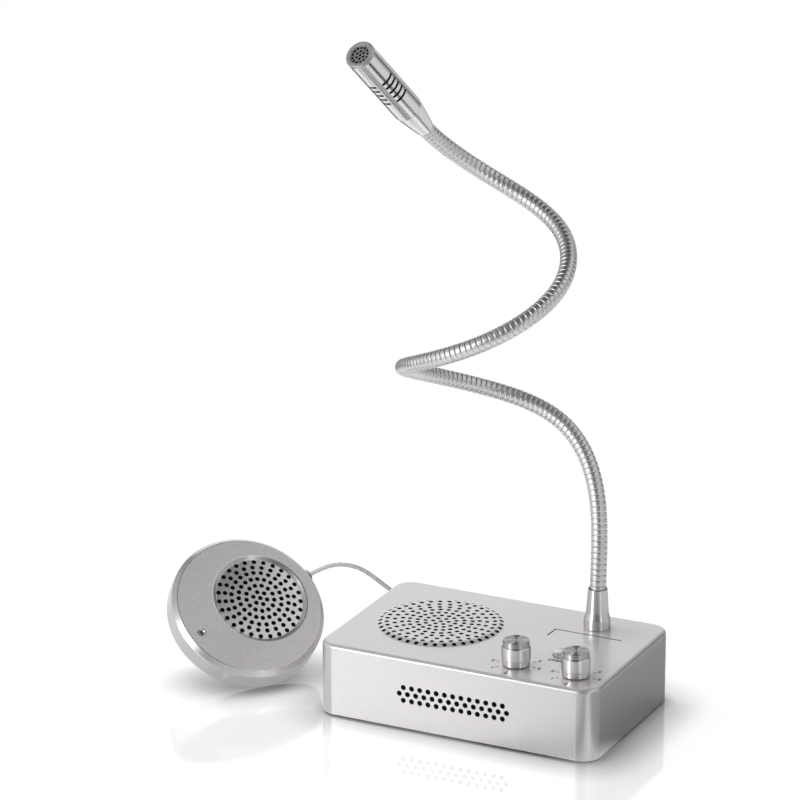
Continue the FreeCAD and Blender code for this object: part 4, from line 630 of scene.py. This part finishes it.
grille_spots = [(grille_middle.x + x, grille_middle.y + y, deck, 1.3) for x, y in ring_places(
    33.5, (0, 0.131, 0.257, 0.388, 0.522, 0.639, 0.761, 0.89, 1), (1, 6, 13, 20, 24, 24, 27, 36, 40),
    (0, 12.9, 1.1, 12.9, 11.1, 12, 10.6, 6.2, 2))]
pierce(case_cover, grille_spots, 8.0, (0, 0, 0), silver_lacquer, unit_place)
hole_pitch, row_pitch, front_middle = 4.92, 3.75, 20.85
front_spots = [((number - (count - 1) / 2) * hole_pitch, -case_width / 2, front_middle + row * row_pitch, 1.5)
               for row, count in ((1, 13), (0, 14), (-1, 13)) for number in range(count)]
pierce(case_cover, front_spots, 6.0, (pi / 2, 0, 0), silver_lacquer, unit_place, 24)
deck_spots = [(knob_x, knob_y, deck, 3.65) for side, knob_x in knobs]
deck_spots += [(*button_middle.xy, deck, 6.3), (*neck_middle.xy, deck, 5.1)]
pierce(case_cover, deck_spots, 8.0, (0, 0, 0), silver_lacquer, unit_place, 64)
rear_spots = [(60.0, case_width / 2, 14.0, 4.3), (20.0, case_width / 2, 10.0, 3.3)]
pierce(case_cover, rear_spots, 6.0, (pi / 2, 0, 0), silver_lacquer, unit_place, 48)
finished(case_cover, silver_lacquer, "root", "case_paint", "top_housing")

# screen-printing ink, a matt dark grey film that stands a few hundredths proud
print_ink = grained("matt_screen_ink", "#1d1b1d", 0.4, (0.5, 0.62), 0, specular_ior_level=0.2)
ink_height = deck + 0.02

# marks of a dial: one short bar at each step round a middle
dial, given = tree_with("dial_marks", ("Middle", "Vector"), ("Marks", "Int"), ("Step", "Float"),
                        ("Reach", "Vector"), ("Bar", "Vector"), ("Finish", "Material"))
bar = add_node(dial, "GeometryNodeMeshCube", {"Size": given["Bar"]})
bar = add_node(dial, "GeometryNodeTransform",
               {"Geometry": bar.outputs["Mesh"], "Translation": given["Reach"]})
points = add_node(dial, "GeometryNodeMeshLine",
                  {"Count": given["Marks"], "Start Location": given["Middle"], "Offset": (0, 0, 0)})
number = add_node(dial, "GeometryNodeInputIndex")
angle = add_node(dial, "ShaderNodeMath", {0: number.outputs[0], 1: given["Step"]}, operation="MULTIPLY")
turn = add_node(dial, "ShaderNodeCombineXYZ", {"Z": angle.outputs[0]})
turn = add_node(dial, "FunctionNodeEulerToRotation", {0: turn.outputs[0]})
bars = add_node(dial, "GeometryNodeInstanceOnPoints",
                {"Points": points.outputs[0], "Instance": bar.outputs[0], "Rotation": turn.outputs[0]})
close_tree(dial, bars.outputs[0], given["Finish"])


def printed_text(words, x, y, height):
    """Print plain characters on the deck, centred on a place."""
    data = bpy.data.curves.new("print", "FONT")
    data.body = words
    data.size = height * 1.35 * mm
    data.align_x, data.align_y = "CENTER", "CENTER"
    data.extrude = 0.01 * mm
    data.offset = 0.09 * mm
    data.resolution_u = 3
    made = linked("print", data)
    bpy.context.view_layer.update()
    mesh = bpy.data.meshes.new_from_object(made)
    bpy.data.objects.remove(made)
    mesh.transform(unit_place @ Matrix.Translation(Vector((x, y, ink_height)) * mm))
    return mesh


def joined(name, meshes):
    """Put meshes together in one object."""
    whole = bmesh.new()
    for mesh in meshes:
        whole.from_mesh(mesh)
    return stood(name, whole)


dial_marks, dial_step, figure_reach = 7, 45, 13.6
for side, knob_x in knobs:
    blank = stood("blank", bmesh.new())
    grow(blank, dial, middle=unit_place @ (Vector((knob_x, knob_y, ink_height)) * mm), marks=dial_marks,
         step=radians(dial_step), reach=Vector((10.7, 0, 0)) * mm, bar=Vector((2.0, 0.55, 0.02)) * mm,
         finish=print_ink)
    prints = [blank.data]
    for figure in range(dial_marks):
        x, y = polar(figure_reach, radians(270 - dial_step * figure))
        prints.append(printed_text(str(figure), knob_x + x, knob_y + y, 2.8))
    marks = joined(side + "_dial_print", prints)
    bpy.data.objects.remove(blank)
    finished(marks, print_ink, "root", "case_paint")

# the bracket line in front of the neck, in two strokes, and the button's words
line_corners = [Vector(corner) for corner in ((26.4, 11.4), (26.9, 21.4), (65.8, 21.4))]
line_half, line_overrun, ink_half = 0.4, 0.3, 0.01
line = bmesh.new()
for start, end in zip(line_corners, line_corners[1:]):
    along = (end - start).normalized()
    aside = Vector((-along.y, along.x)) * line_half
    for corner in bmesh.ops.create_cube(line, size=1.0)["verts"]:
        place = end + along * line_overrun if corner.co.x > 0 else start - along * line_overrun
        place = place + aside * (1 if corner.co.y > 0 else -1)
        corner.co = Vector((*place, ink_height + ink_half * (1 if corner.co.z > 0 else -1))) * mm
bracket = stood("deck_line_print", line, unit_place)
deck_print = joined("deck_print", [bracket.data, printed_text("ON/OFF", 47.6, -20.6, 2.7)])
bpy.data.objects.remove(bracket)
finished(deck_print, print_ink, "root", "case_paint")


# Base. A flat zinc-plated plate countersunk for four screws into the case's welded pillars, with four
# stick-on rubber feet and black dust cloth behind the holes.
def painted(finish, *nodes):
    """Give CAD solids whose shape is right their real finish."""
    for node in nodes:
        for place in frame["nodes"][node].material_slots:
            place.material = finish


def dressed(node, name, finish, slot, broken_edge=0):
    """Let a copy of a CAD solid stand for it, with its corners joined, its edges broken and its round
    faces shaded smooth."""
    shape = bmesh.new()
    shape.from_mesh(frame["nodes"][node].data)
    bmesh.ops.remove_doubles(shape, verts=shape.verts, dist=0.001 * mm)
    if broken_edge:
        bmesh.ops.dissolve_limit(shape, angle_limit=radians(2), verts=shape.verts, edges=shape.edges)
    copy = stood(name, shape)
    if broken_edge:
        bevel = copy.modifiers.new("broken_edges", "BEVEL")
        bevel.width, bevel.segments = broken_edge * mm, 3
        bevel.limit_method, bevel.angle_limit = "ANGLE", radians(40)
    finished(copy, finish, frame["nodes"][node]["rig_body"], slot, node)


# zinc plate, bluish and half bright, with the faint grain of rolled steel under it
zinc_plate = grained("bright_zinc_plate", "#b4b8bd", 0.6, (0.28, 0.42), 0.006, metallic=1.0)
# natural rubber, matt and almost black, slightly dusty
foot_rubber = grained("moulded_black_rubber", "#1c1c1d", 0.5, (0.7, 0.9), 0.02, ior=1.52)
# woven polyester dust cloth, dead black, its threads a millimetre apart
dust_cloth = new_material("black_woven_polyester", base_color=linear("#0b0b0c"), roughness=0.95, ior=1.5)
tree = dust_cloth.node_tree
thread_pitch, wave_repeat = 1.0 * mm, 0.3125
where = add_node(tree, "ShaderNodeTexCoord")
threads = [add_node(tree, "ShaderNodeTexWave",
                    {"Vector": where.outputs["Object"], "Scale": wave_repeat / thread_pitch},
                    bands_direction=way) for way in ("X", "Y")]
crossed = add_node(tree, "ShaderNodeMath", {0: threads[0].outputs["Fac"], 1: threads[1].outputs["Fac"]},
                   operation="MULTIPLY")
weave = add_node(tree, "ShaderNodeBump", {"Height": crossed.outputs[0], "Distance": 0.1 * mm})
link_to_shader(dust_cloth, "Normal", weave.outputs[0])

dressed("base_plate", "base_sheet", zinc_plate, "base_steel")
dressed("rubber_feet", "feet", foot_rubber, "foot_rubber", 0.2)
dressed("base_screws", "base_screw_set", zinc_plate, "screw_steel")
painted(zinc_plate, "case_pillars")
painted(dust_cloth, "grille_cloth", "front_cloth")

# Speaker under the grille. A pressed steel basket on four studs, with a ferrite magnet and a paper cone.
# moulded paper pulp, black with a fibrous bloom
cone_paper = grained("black_paper_pulp", "#1f1e1d", 0.3, (0.8, 0.95), 0.03, ior=1.45)
# sintered ferrite, dark grey and dull
ferrite = grained("sintered_ferrite", "#333336", 0.2, (0.55, 0.75), 0.01, ior=2.2)
painted(zinc_plate, "speaker_frame", "speaker_studs", "speaker_nuts", "pod_speaker_frame")
painted(ferrite, "speaker_magnet", "pod_speaker_magnet")
painted(cone_paper, "speaker_cone", "speaker_dust_cap", "pod_speaker_cone")
painted(dust_cloth, "pod_cloth")

# Amplifier board. A green laminate on nylon spacers, with a black heat sink and sleeved capacitors.
# solder-masked glass laminate, deep green under a hard gloss
laminate = grained("green_glass_laminate", "#1c5a36", 0.7, (0.3, 0.4), 0.005, ior=1.55, coat_weight=0.5)
# natural moulded nylon, milky
nylon = grained("natural_nylon", "#e4e1d6", 0.8, (0.35, 0.5), 0, ior=1.53)
# black anodised extrusion, deep and even with a silky sheen
black_anodised = grained("black_anodised_aluminium", "#1a1a1c", 0.4, (0.4, 0.55), 0.004, metallic=0.6)
# shrunk PVC sleeve, dark blue and glossy
sleeve = grained("blue_pvc_sleeve", "#1b2a4c", 1.5, (0.2, 0.3), 0, ior=1.53)
# moulded black ABS, an even dark plastic with a fine spark-eroded texture
black_moulding = grained("black_moulded_abs", "#19191b", 0.35, (0.38, 0.52), 0.012, ior=1.53)
painted(laminate, "main_board")
painted(nylon, "board_spacers")
painted(black_anodised, "heat_sink")
painted(sleeve, "capacitors")
painted(black_moulding, "power_switch")
painted(zinc_plate, "inner_volume_pot", "outer_volume_pot", "pot_nuts", "inner_volume_shaft",
        "outer_volume_shaft", "neck_washer", "neck_nut")

# Sockets in the rear wall: a power inlet with its pin and the pod's jack, moulded in black plastic.
dressed("power_jack", "power_inlet", black_moulding, "jack_plastic", 0.15)
dressed("pod_jack", "pod_socket", black_moulding, "jack_plastic", 0.15)

# Volume knobs. Turned and bright-plated brass shells on splined shafts, each with a spun aluminium disc
# pressed into its top. They turn 300 degrees between stops.
def turned_finish(name, colour, rough, streak=0.85):
    """Start a metal with the fine rings of a lathe: a lamp draws a streak across them, along the piece."""
    return grained(name, colour, 0.6, rough, 0, metallic=1.0, anisotropic=streak, anisotropic_rotation=0.25)


# bright chrome on turned brass, cool and clear, with the rings of the lathe still faint under it
turned_chrome = turned_finish("turned_bright_chrome", "#e4e2e4", (0.30, 0.38))
# spun aluminium disc, greyer and coarser: a lamp opens into two bright wedges
spun_aluminium = turned_finish("spun_aluminium", "#d8d6d8", (0.47, 0.53), 0.97)
for metal in (turned_chrome, spun_aluminium):
    ringed = add_node(metal.node_tree, "ShaderNodeTangent", direction_type="RADIAL", axis="Z")
    link_to_shader(metal, "Tangent", ringed.outputs[0])
for side, knob_x in knobs:
    here = unit_place @ Matrix.Translation(Vector((knob_x, knob_y, 0)) * mm)
    shell = softened([(6.2, 42.2), (7.6, 42.2), (7.6, 45.2), (8.0, 45.6), (8.0, 52.6), (7.6, 53.0),
                      (6.9, 53.0), (6.9, 53.4), (3.03, 53.4), (3.03, 45.4), (6.2, 45.4)], 0.25)
    knob = stood(side + "_knob_shell", turned(shell, 128), here)
    finished(knob, turned_chrome, side + "_volume", "knob_plastic", side + "_volume_knob")
    disc = softened([(0, 53.4), (7.3, 53.4), (7.3, 55.6), (7.0, 55.9), (1.0, 55.86), (0, 55.8)], 0.12)
    cap = stood(side + "_spun_disc", turned(disc, 128), here)
    finished(cap, spun_aluminium, side + "_volume", "knob_cap_aluminium", side + "_knob_cap")

# Power button. A turned and polished steel cap, slightly crowned, on the stem of a latching switch.
crown = [(6.0 * share, 43.9 - 0.35 * share * share) for share in (0.0, 0.2, 0.4, 0.6, 0.8)]
outline = softened([(0, 33.7), (2.0, 33.7), (2.0, 38.1), (6.0, 38.1), (6.0, 43.45), *reversed(crown)], 0.35)
button = stood("button_cap", turned(outline), unit_place @ Matrix.Translation(button_middle * mm))
finished(button, turned_chrome, "power_button", "button_steel", "power_button")

# Neck. A turned ferrule screwed through the deck, and a gooseneck of half-round steel wire wound over a
# spring, chromed to a satin mirror. It bends anywhere and stays where it is put.
outline = softened([(2.5, 33.6), (4.9, 33.6), (4.9, 41.6), (7.45, 41.6), (7.45, 47.3), (6.3, 51.1),
                    (5.5, 64.6), (5.0, 64.6), (5.0, 53.6), (2.5, 53.6)], 0.5)
ferrule = stood("ferrule", turned(outline, 128), unit_place @ Matrix.Translation(neck_middle * mm))
finished(ferrule, turned_chrome, "root", "neck_chrome", "neck_ferrule")

# chrome on wound wire, a satin mirror, slightly warm
satin_chrome = grained("satin_chrome_plate", "#dddadd", 1.0, (0.36, 0.44), 0, metallic=1.0)
neck_foot, neck_spread, neck_rise = Vector((99.1, 29.1, 53.6)), 100.0, 268.7
neck_shares = ((0, 0, 0), (0, 0, 0.08), (-0.01, 0.1, 0.228), (-0.31, 0.32, 0.362), (-0.82, 0.26, 0.403),
               (-1.12, -0.22, 0.478), (-0.84, -0.7, 0.549), (-0.33, -0.78, 0.623), (-0.01, -0.4, 0.709),
               (-0.21, 0.09, 0.794), (-0.75, 0.12, 0.869), (-0.93, -0.11, 0.951), (-0.955, -0.255, 1))
neck_poles = [neck_foot + Vector((x * neck_spread, y * neck_spread, z * neck_rise))
              for x, y, z in neck_shares]
bends = (((90.6244, 43.1455, 117.9336), (-0.3834, 0.3673, 0.8474)),
         ((22.7401, 49.4515, 162.6075), (-0.8191, -0.4896, 0.2988)),
         ((9.0499, -25.1454, 195.9101), (0.6024, -0.7095, 0.3657)),
         ((82.5565, -26.1878, 234.2722), (0.5121, 0.7236, 0.4627)),
         ((54.2087, 37.4702, 275.6917), (-0.8952, 0.1368, 0.4241)))
rib_pitch, bend_reach, hose_end = 3.1, 13.0, 517.4
# the lengths meet in a valley between two ribs, midway from bend to bend
seams = [rib_pitch * ribs for ribs in (0, 36, 65, 95, 125)] + [hose_end]

gooseneck, given = tree_with("gooseneck", ("Line", "Object"), ("Start", "Float"), ("End", "Float"),
                             ("Valley radius", "Float"), ("Rib height", "Float"), ("Rib pitch", "Float"),
                             ("Step", "Float"), ("Sides", "Int"), ("Finish", "Material"))
drawn = add_node(gooseneck, "GeometryNodeObjectInfo", {"Object": given["Line"]})
cut_line = add_node(gooseneck, "GeometryNodeTrimCurve",
                    {0: drawn.outputs["Geometry"], 4: given["Start"], 5: given["End"]}, mode="LENGTH")
stepped = add_node(gooseneck, "GeometryNodeResampleCurve", {0: cut_line.outputs[0], 3: given["Step"]},
                   mode="LENGTH")
along = add_node(gooseneck, "GeometryNodeSplineParameter")
turns = add_node(gooseneck, "ShaderNodeMath", {0: along.outputs["Length"], 1: given["Rib pitch"]},
                 operation="DIVIDE")
part = add_node(gooseneck, "ShaderNodeMath", {0: turns.outputs[0]}, operation="FRACT")
side = add_node(gooseneck, "ShaderNodeMath", {0: part.outputs[0], 1: 2.0, 2: -1.0}, operation="MULTIPLY_ADD")
square = add_node(gooseneck, "ShaderNodeMath", {0: side.outputs[0], 1: side.outputs[0]}, operation="MULTIPLY")
# a high power makes the rib's crown flat and its seams narrow
steep = add_node(gooseneck, "ShaderNodeMath", {0: square.outputs[0], 1: 3.5}, operation="POWER")
round_rib = add_node(gooseneck, "ShaderNodeMath", {0: 1.0, 1: steep.outputs[0]}, operation="SUBTRACT")
radius = add_node(gooseneck, "ShaderNodeMath",
                  {0: round_rib.outputs[0], 1: given["Rib height"], 2: given["Valley radius"]},
                  operation="MULTIPLY_ADD")
ring = add_node(gooseneck, "GeometryNodeCurvePrimitiveCircle",
                {"Resolution": given["Sides"], "Radius": 1.0})
wound = add_node(gooseneck, "GeometryNodeCurveToMesh",
                 {"Curve": stepped.outputs[0], "Profile Curve": ring.outputs["Curve"],
                  "Scale": radius.outputs[0], "Fill Caps": True})
close_tree(gooseneck, wound.outputs[0], given["Finish"])

hose = linked("hose_line", smooth_line("hose_line", points_at(neck_poles), 4, 48))
for number, (spot, along_way) in enumerate(bends):
    length = stood("gooseneck_%d" % (number + 1), bmesh.new())
    grow(length, gooseneck, line=hose, start=seams[number] * mm, end=seams[number + 1] * mm,
         valley_radius=4.12 * mm, rib_height=0.43 * mm, rib_pitch=rib_pitch * mm,
         step=rib_pitch / 14 * mm, sides=36, finish=satin_chrome)
    settled(length, satin_chrome, 60)
    nodes = ["neck_hose_%d" % (number + 1)] + (["neck_hose_6"] if number == len(bends) - 1 else [])
    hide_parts(*nodes)
    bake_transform(length)
bpy.data.objects.remove(hose)

# Microphone. A turned tail, a slotted tube and a perforated face, all chromed but the face, which is
# bead-blasted nickel, round a black foam sleeve and the capsule.
mic_axis = (neck_poles[-1] - neck_poles[-2]).normalized()
mic_x = (Vector((0, 1, 0)) - mic_axis * mic_axis.y).normalized()
mic_place = Matrix((mic_x, mic_axis.cross(mic_x), mic_axis)).transposed().to_4x4()
mic_place.translation = (neck_poles[-1] - mic_axis * 3.5) * mm
mic_turn = mic_place.to_euler()
tube_radius = 8.05

# the same chrome with finer rings, which run round the microphone's tilted middle line
mic_chrome = turned_finish("microphone_chrome", "#e2e0e2", (0.16, 0.22), 0.6)
facing = add_node(mic_chrome.node_tree, "ShaderNodeNewGeometry")
ringed = add_node(mic_chrome.node_tree, "ShaderNodeVectorMath", {0: mic_axis, 1: facing.outputs["Normal"]},
                  operation="CROSS_PRODUCT")
link_to_shader(mic_chrome, "Tangent", ringed.outputs[0])

outline = softened([(4.75, 0), (5.1, 0), (tube_radius, 21.0), (7.0, 21.0), (7.0, 26.0), (2.5, 26.0),
                    (2.5, 3.8), (4.75, 3.8)], 0.3)
tail = stood("mic_cone", turned(outline, 128), mic_place)
finished(tail, mic_chrome, "neck_6", "mic_chrome", "mic_tail")


def carved(piece, cutter):
    """Cut one shape out of a piece."""
    knife = stood("knife", cutter)
    difference = piece.modifiers.new("carved", "BOOLEAN")
    difference.object, difference.operation, difference.solver = knife, "DIFFERENCE", "EXACT"
    evaluated(piece)
    bpy.data.objects.remove(knife)


outline = softened([(7.1, 50.0), (7.1, 21.0), (tube_radius, 21.0), (tube_radius, 76.5), (7.1, 76.5),
                    (7.1, 51.0)], 0.2)
tube = stood("mic_tube", turned(outline, 128), mic_place)
# round-ended slots, in rows up the tube and columns round it
slot_rows, slot_low, slot_pitch, slot_columns, slot_turn = 5, 39.3, 4.3, 4, 31.0
slot_spread, slot_half, slot_steps, slot_inside, slot_outside = 33.5, 0.9, 16, 6.0, 9.0
slot_section = (slot_inside, -1), (slot_outside, -1), (slot_outside, 1), (slot_inside, 1)
slot_cutter = bmesh.new()
for row in range(slot_rows):
    for column in range(slot_columns):
        stations = []
        for step in range(slot_steps + 1):
            swing = sin((-1 + 2 * step / slot_steps) * pi / 2)
            angle = radians(slot_turn + slot_spread + 360 / slot_columns * column + slot_spread * swing)
            from_end = (1 - abs(swing)) * radians(slot_spread) * tube_radius / slot_half
            half = slot_half * sqrt(max(0.02, 1 - max(0, 1 - from_end) ** 2))
            middle = slot_low + slot_pitch * row
            stations.append([
                slot_cutter.verts.new(Vector((*polar(reach, angle), middle + lift * half)) * mm)
                for reach, lift in slot_section])
        for low, high in zip(stations, stations[1:]):
            bridge(slot_cutter, low, high)
        slot_cutter.faces.new(stations[0])
        slot_cutter.faces.new(stations[-1])
bmesh.ops.recalc_face_normals(slot_cutter, faces=slot_cutter.faces)
slot_cutter.transform(mic_place)
carved(tube, slot_cutter)
finished(tube, mic_chrome, "neck_6", "mic_chrome", "mic_body")

# bead-blasted nickel: an even matt metal, darker to the eye than the polished tube round it
blasted_nickel = grained("blasted_nickel", "#c2c1c3", 0.12, (0.38, 0.5), 0.006, metallic=0.9)
outline = softened([(5.2, 76.2), (5.2, 75.5), (7.0, 75.5), (7.0, 76.5), (tube_radius, 76.5),
                    (tube_radius, 77.2), (7.3, 78.0), (5.7, 78.0), (5.4, 77.4), (5.4, 77.0), (5.2, 76.9)],
                   0.15)
bezel = stood("mic_bezel", turned(outline, 128), mic_place)
finished(bezel, blasted_nickel, "neck_6", "mic_face_plastic", "mic_face")
# perforated sheet pressed into the bezel, its nickel darker than the bezel's
dark_nickel = grained("dark_nickel_sheet", "#a3a2a4", 0.3, (0.3, 0.42), 0.003, metallic=0.9)
screen = stood("mic_screen", turned([(0, 75.7), (5.3, 75.7), (5.3, 77.0), (0, 77.0)]), mic_place)
pierce(screen, [(x, y, 76.5, 0.7) for x, y in ring_places(4.4, (0, 0.5, 1), (1, 6, 13), (0, 0, 0))], 6.0,
       mic_turn, dark_nickel, mic_place)
finished(screen, dark_nickel, "neck_6", "mic_face_plastic")
painted(zinc_plate, "mic_capsule")
painted(cone_paper, "mic_foam")

# Pod. A round moulded shell, lacquered silver, its domed grille set in a recess off the middle, with a
# countersunk hole for its own microphone. It leans back on its rim.
pod_radius, pod_lean, pod_way, gland_way = 44.0, 48.7, 50.7, 20.5
bowl_middle, sink_middle = Vector((7.8, 3.4, 0)), Vector((-32.5, -11.4, 0))
pod_place = (Matrix.Translation(Vector((-97.4, -16.1, pod_radius * cos(radians(pod_lean)))) * mm)
             @ Matrix.Rotation(radians(pod_way), 4, "Z")
             @ Matrix.Rotation(radians(90 - pod_lean), 4, "X"))
pod_turn = pod_place.to_euler()
# smoother lacquer on moulded plastic, with less binder over its flakes: it shades like brushed metal
pod_lacquer = grained("smooth_silver_lacquer", "#dad7d9", 0.4, (0.25, 0.31), 0.002, metallic=0.85)
outline = softened([(42.5, 6.0), (42.5, 0), (pod_radius, 0), (pod_radius, 11.4), (41.3, 14.2), (20.0, 14.2)],
                   0.9, 6)
outline += [Vector(corner) for corner in ((0, 14.2), (0, 11.5), (42.5, 11.5))]
pod = stood("pod_housing", turned(outline, 160), pod_place)
bowl = [(0, 20.0), (29.0, 20.0), (29.0, 14.22), (27.6, 14.2), (27.2, 14.14), (26.85, 13.98), (26.5, 13.7),
        (25.2, 12.72)]
bowl += [(25.0 * share, 12.7 + 1.4 * (1 - share * share)) for share in
         (1, 0.96, 0.9, 0.82, 0.72, 0.6, 0.45, 0.28, 0.1, 0)]
sink = [(0, 20.0), (3.2, 20.0), (3.2, 14.22), (2.6, 14.2), (2.35, 14.1), (1.55, 13.4), (1.5, 13.2),
        (1.5, 9.0), (0, 9.0)]
for hollow, steps, middle in ((bowl, 144, bowl_middle), (sink, 48, sink_middle)):
    cutter = turned([Vector(corner) for corner in hollow], steps)
    cutter.transform(pod_place @ Matrix.Translation(middle * mm))
    carved(pod, cutter)
pod_spots = [(bowl_middle.x + x, bowl_middle.y + y, 12.5, 1.35) for x, y in ring_places(
    23.7, (0, 0.169, 0.342, 0.523, 0.696, 0.848, 1), (1, 6, 13, 20, 24, 24, 27),
    (0, -22, 11.1, 7.6, -4.6, -5.6, 0.3))]
pierce(pod, pod_spots, 8.0, pod_turn, pod_lacquer, pod_place, 24)
gland_turn = (pod_place @ Matrix.Rotation(radians(gland_way), 4, "Z")
              @ Matrix.Rotation(radians(90), 4, "Y")).to_euler()
pierce(pod, [(*polar(43.3, radians(gland_way)), 6.2, 2.7)], 6.0, gland_turn, pod_lacquer, pod_place, 48)
finished(pod, pod_lacquer, "root", "pod_paint", "pod_shell")

# grey moulded ABS with a fine matt texture
grey_abs = grained("grey_moulded_abs", "#a9a8aa", 0.4, (0.45, 0.6), 0.015, ior=1.54)
# closed-cell foam, off-white and open to the eye, which sticks the pod up
pad_foam = grained("closed_cell_foam", "#e6e4dc", 0.5, (0.85, 0.95), 0.08, ior=1.45)
dressed("pod_back_cover", "pod_back", grey_abs, "pod_cover_plastic")
dressed("pod_screws", "pod_screw_set", zinc_plate, "screw_steel")
dressed("pod_pad", "pod_foam_pad", pad_foam, "pad_foam", 0.25)
dressed("pod_gland", "pod_cord_gland", grey_abs, "gland_plastic", 0.25)
painted(zinc_plate, "pod_mic_capsule")

# Cord's plug and tie: a moulded black plug with a ribbed strain relief, and a milky nylon strap round the
# wound length.
plug_place = Matrix.Translation(Vector((73.0, 48.85, 10.0)) * mm) @ Matrix.Rotation(radians(-90), 4, "X")
outline = [(0, 0), (3.7, 0), (4.5, 0.8), (4.5, 4.0)]
for rib in range(5):
    outline += [(4.5, 5.0 + 2 * rib), (4.25, 5.3 + 2 * rib), (4.25, 6.2 + 2 * rib), (4.5, 6.5 + 2 * rib)]
outline += [(4.5, 17.2), (3.7, 18.0), (3.2, 18.0)]
for rib in range(3):
    outline += [(3.1 - 0.35 * rib, 19.2 + 1.6 * rib), (2.4 - 0.2 * rib, 19.4 + 1.6 * rib),
                (2.3 - 0.2 * rib, 20.0 + 1.6 * rib), (2.9 - 0.35 * rib, 20.2 + 1.6 * rib)]
outline += [(1.9, 24.0), (0, 24.0)]
plug = stood("pod_plug_body", turned(softened(outline, 0.2), 72), plug_place)
finished(plug, black_moulding, "root", "plug_plastic", "pod_plug")
painted(zinc_plate, "pod_plug_pin")
dressed("cord_tie", "cord_strap", nylon, "tie_plastic", 0.15)
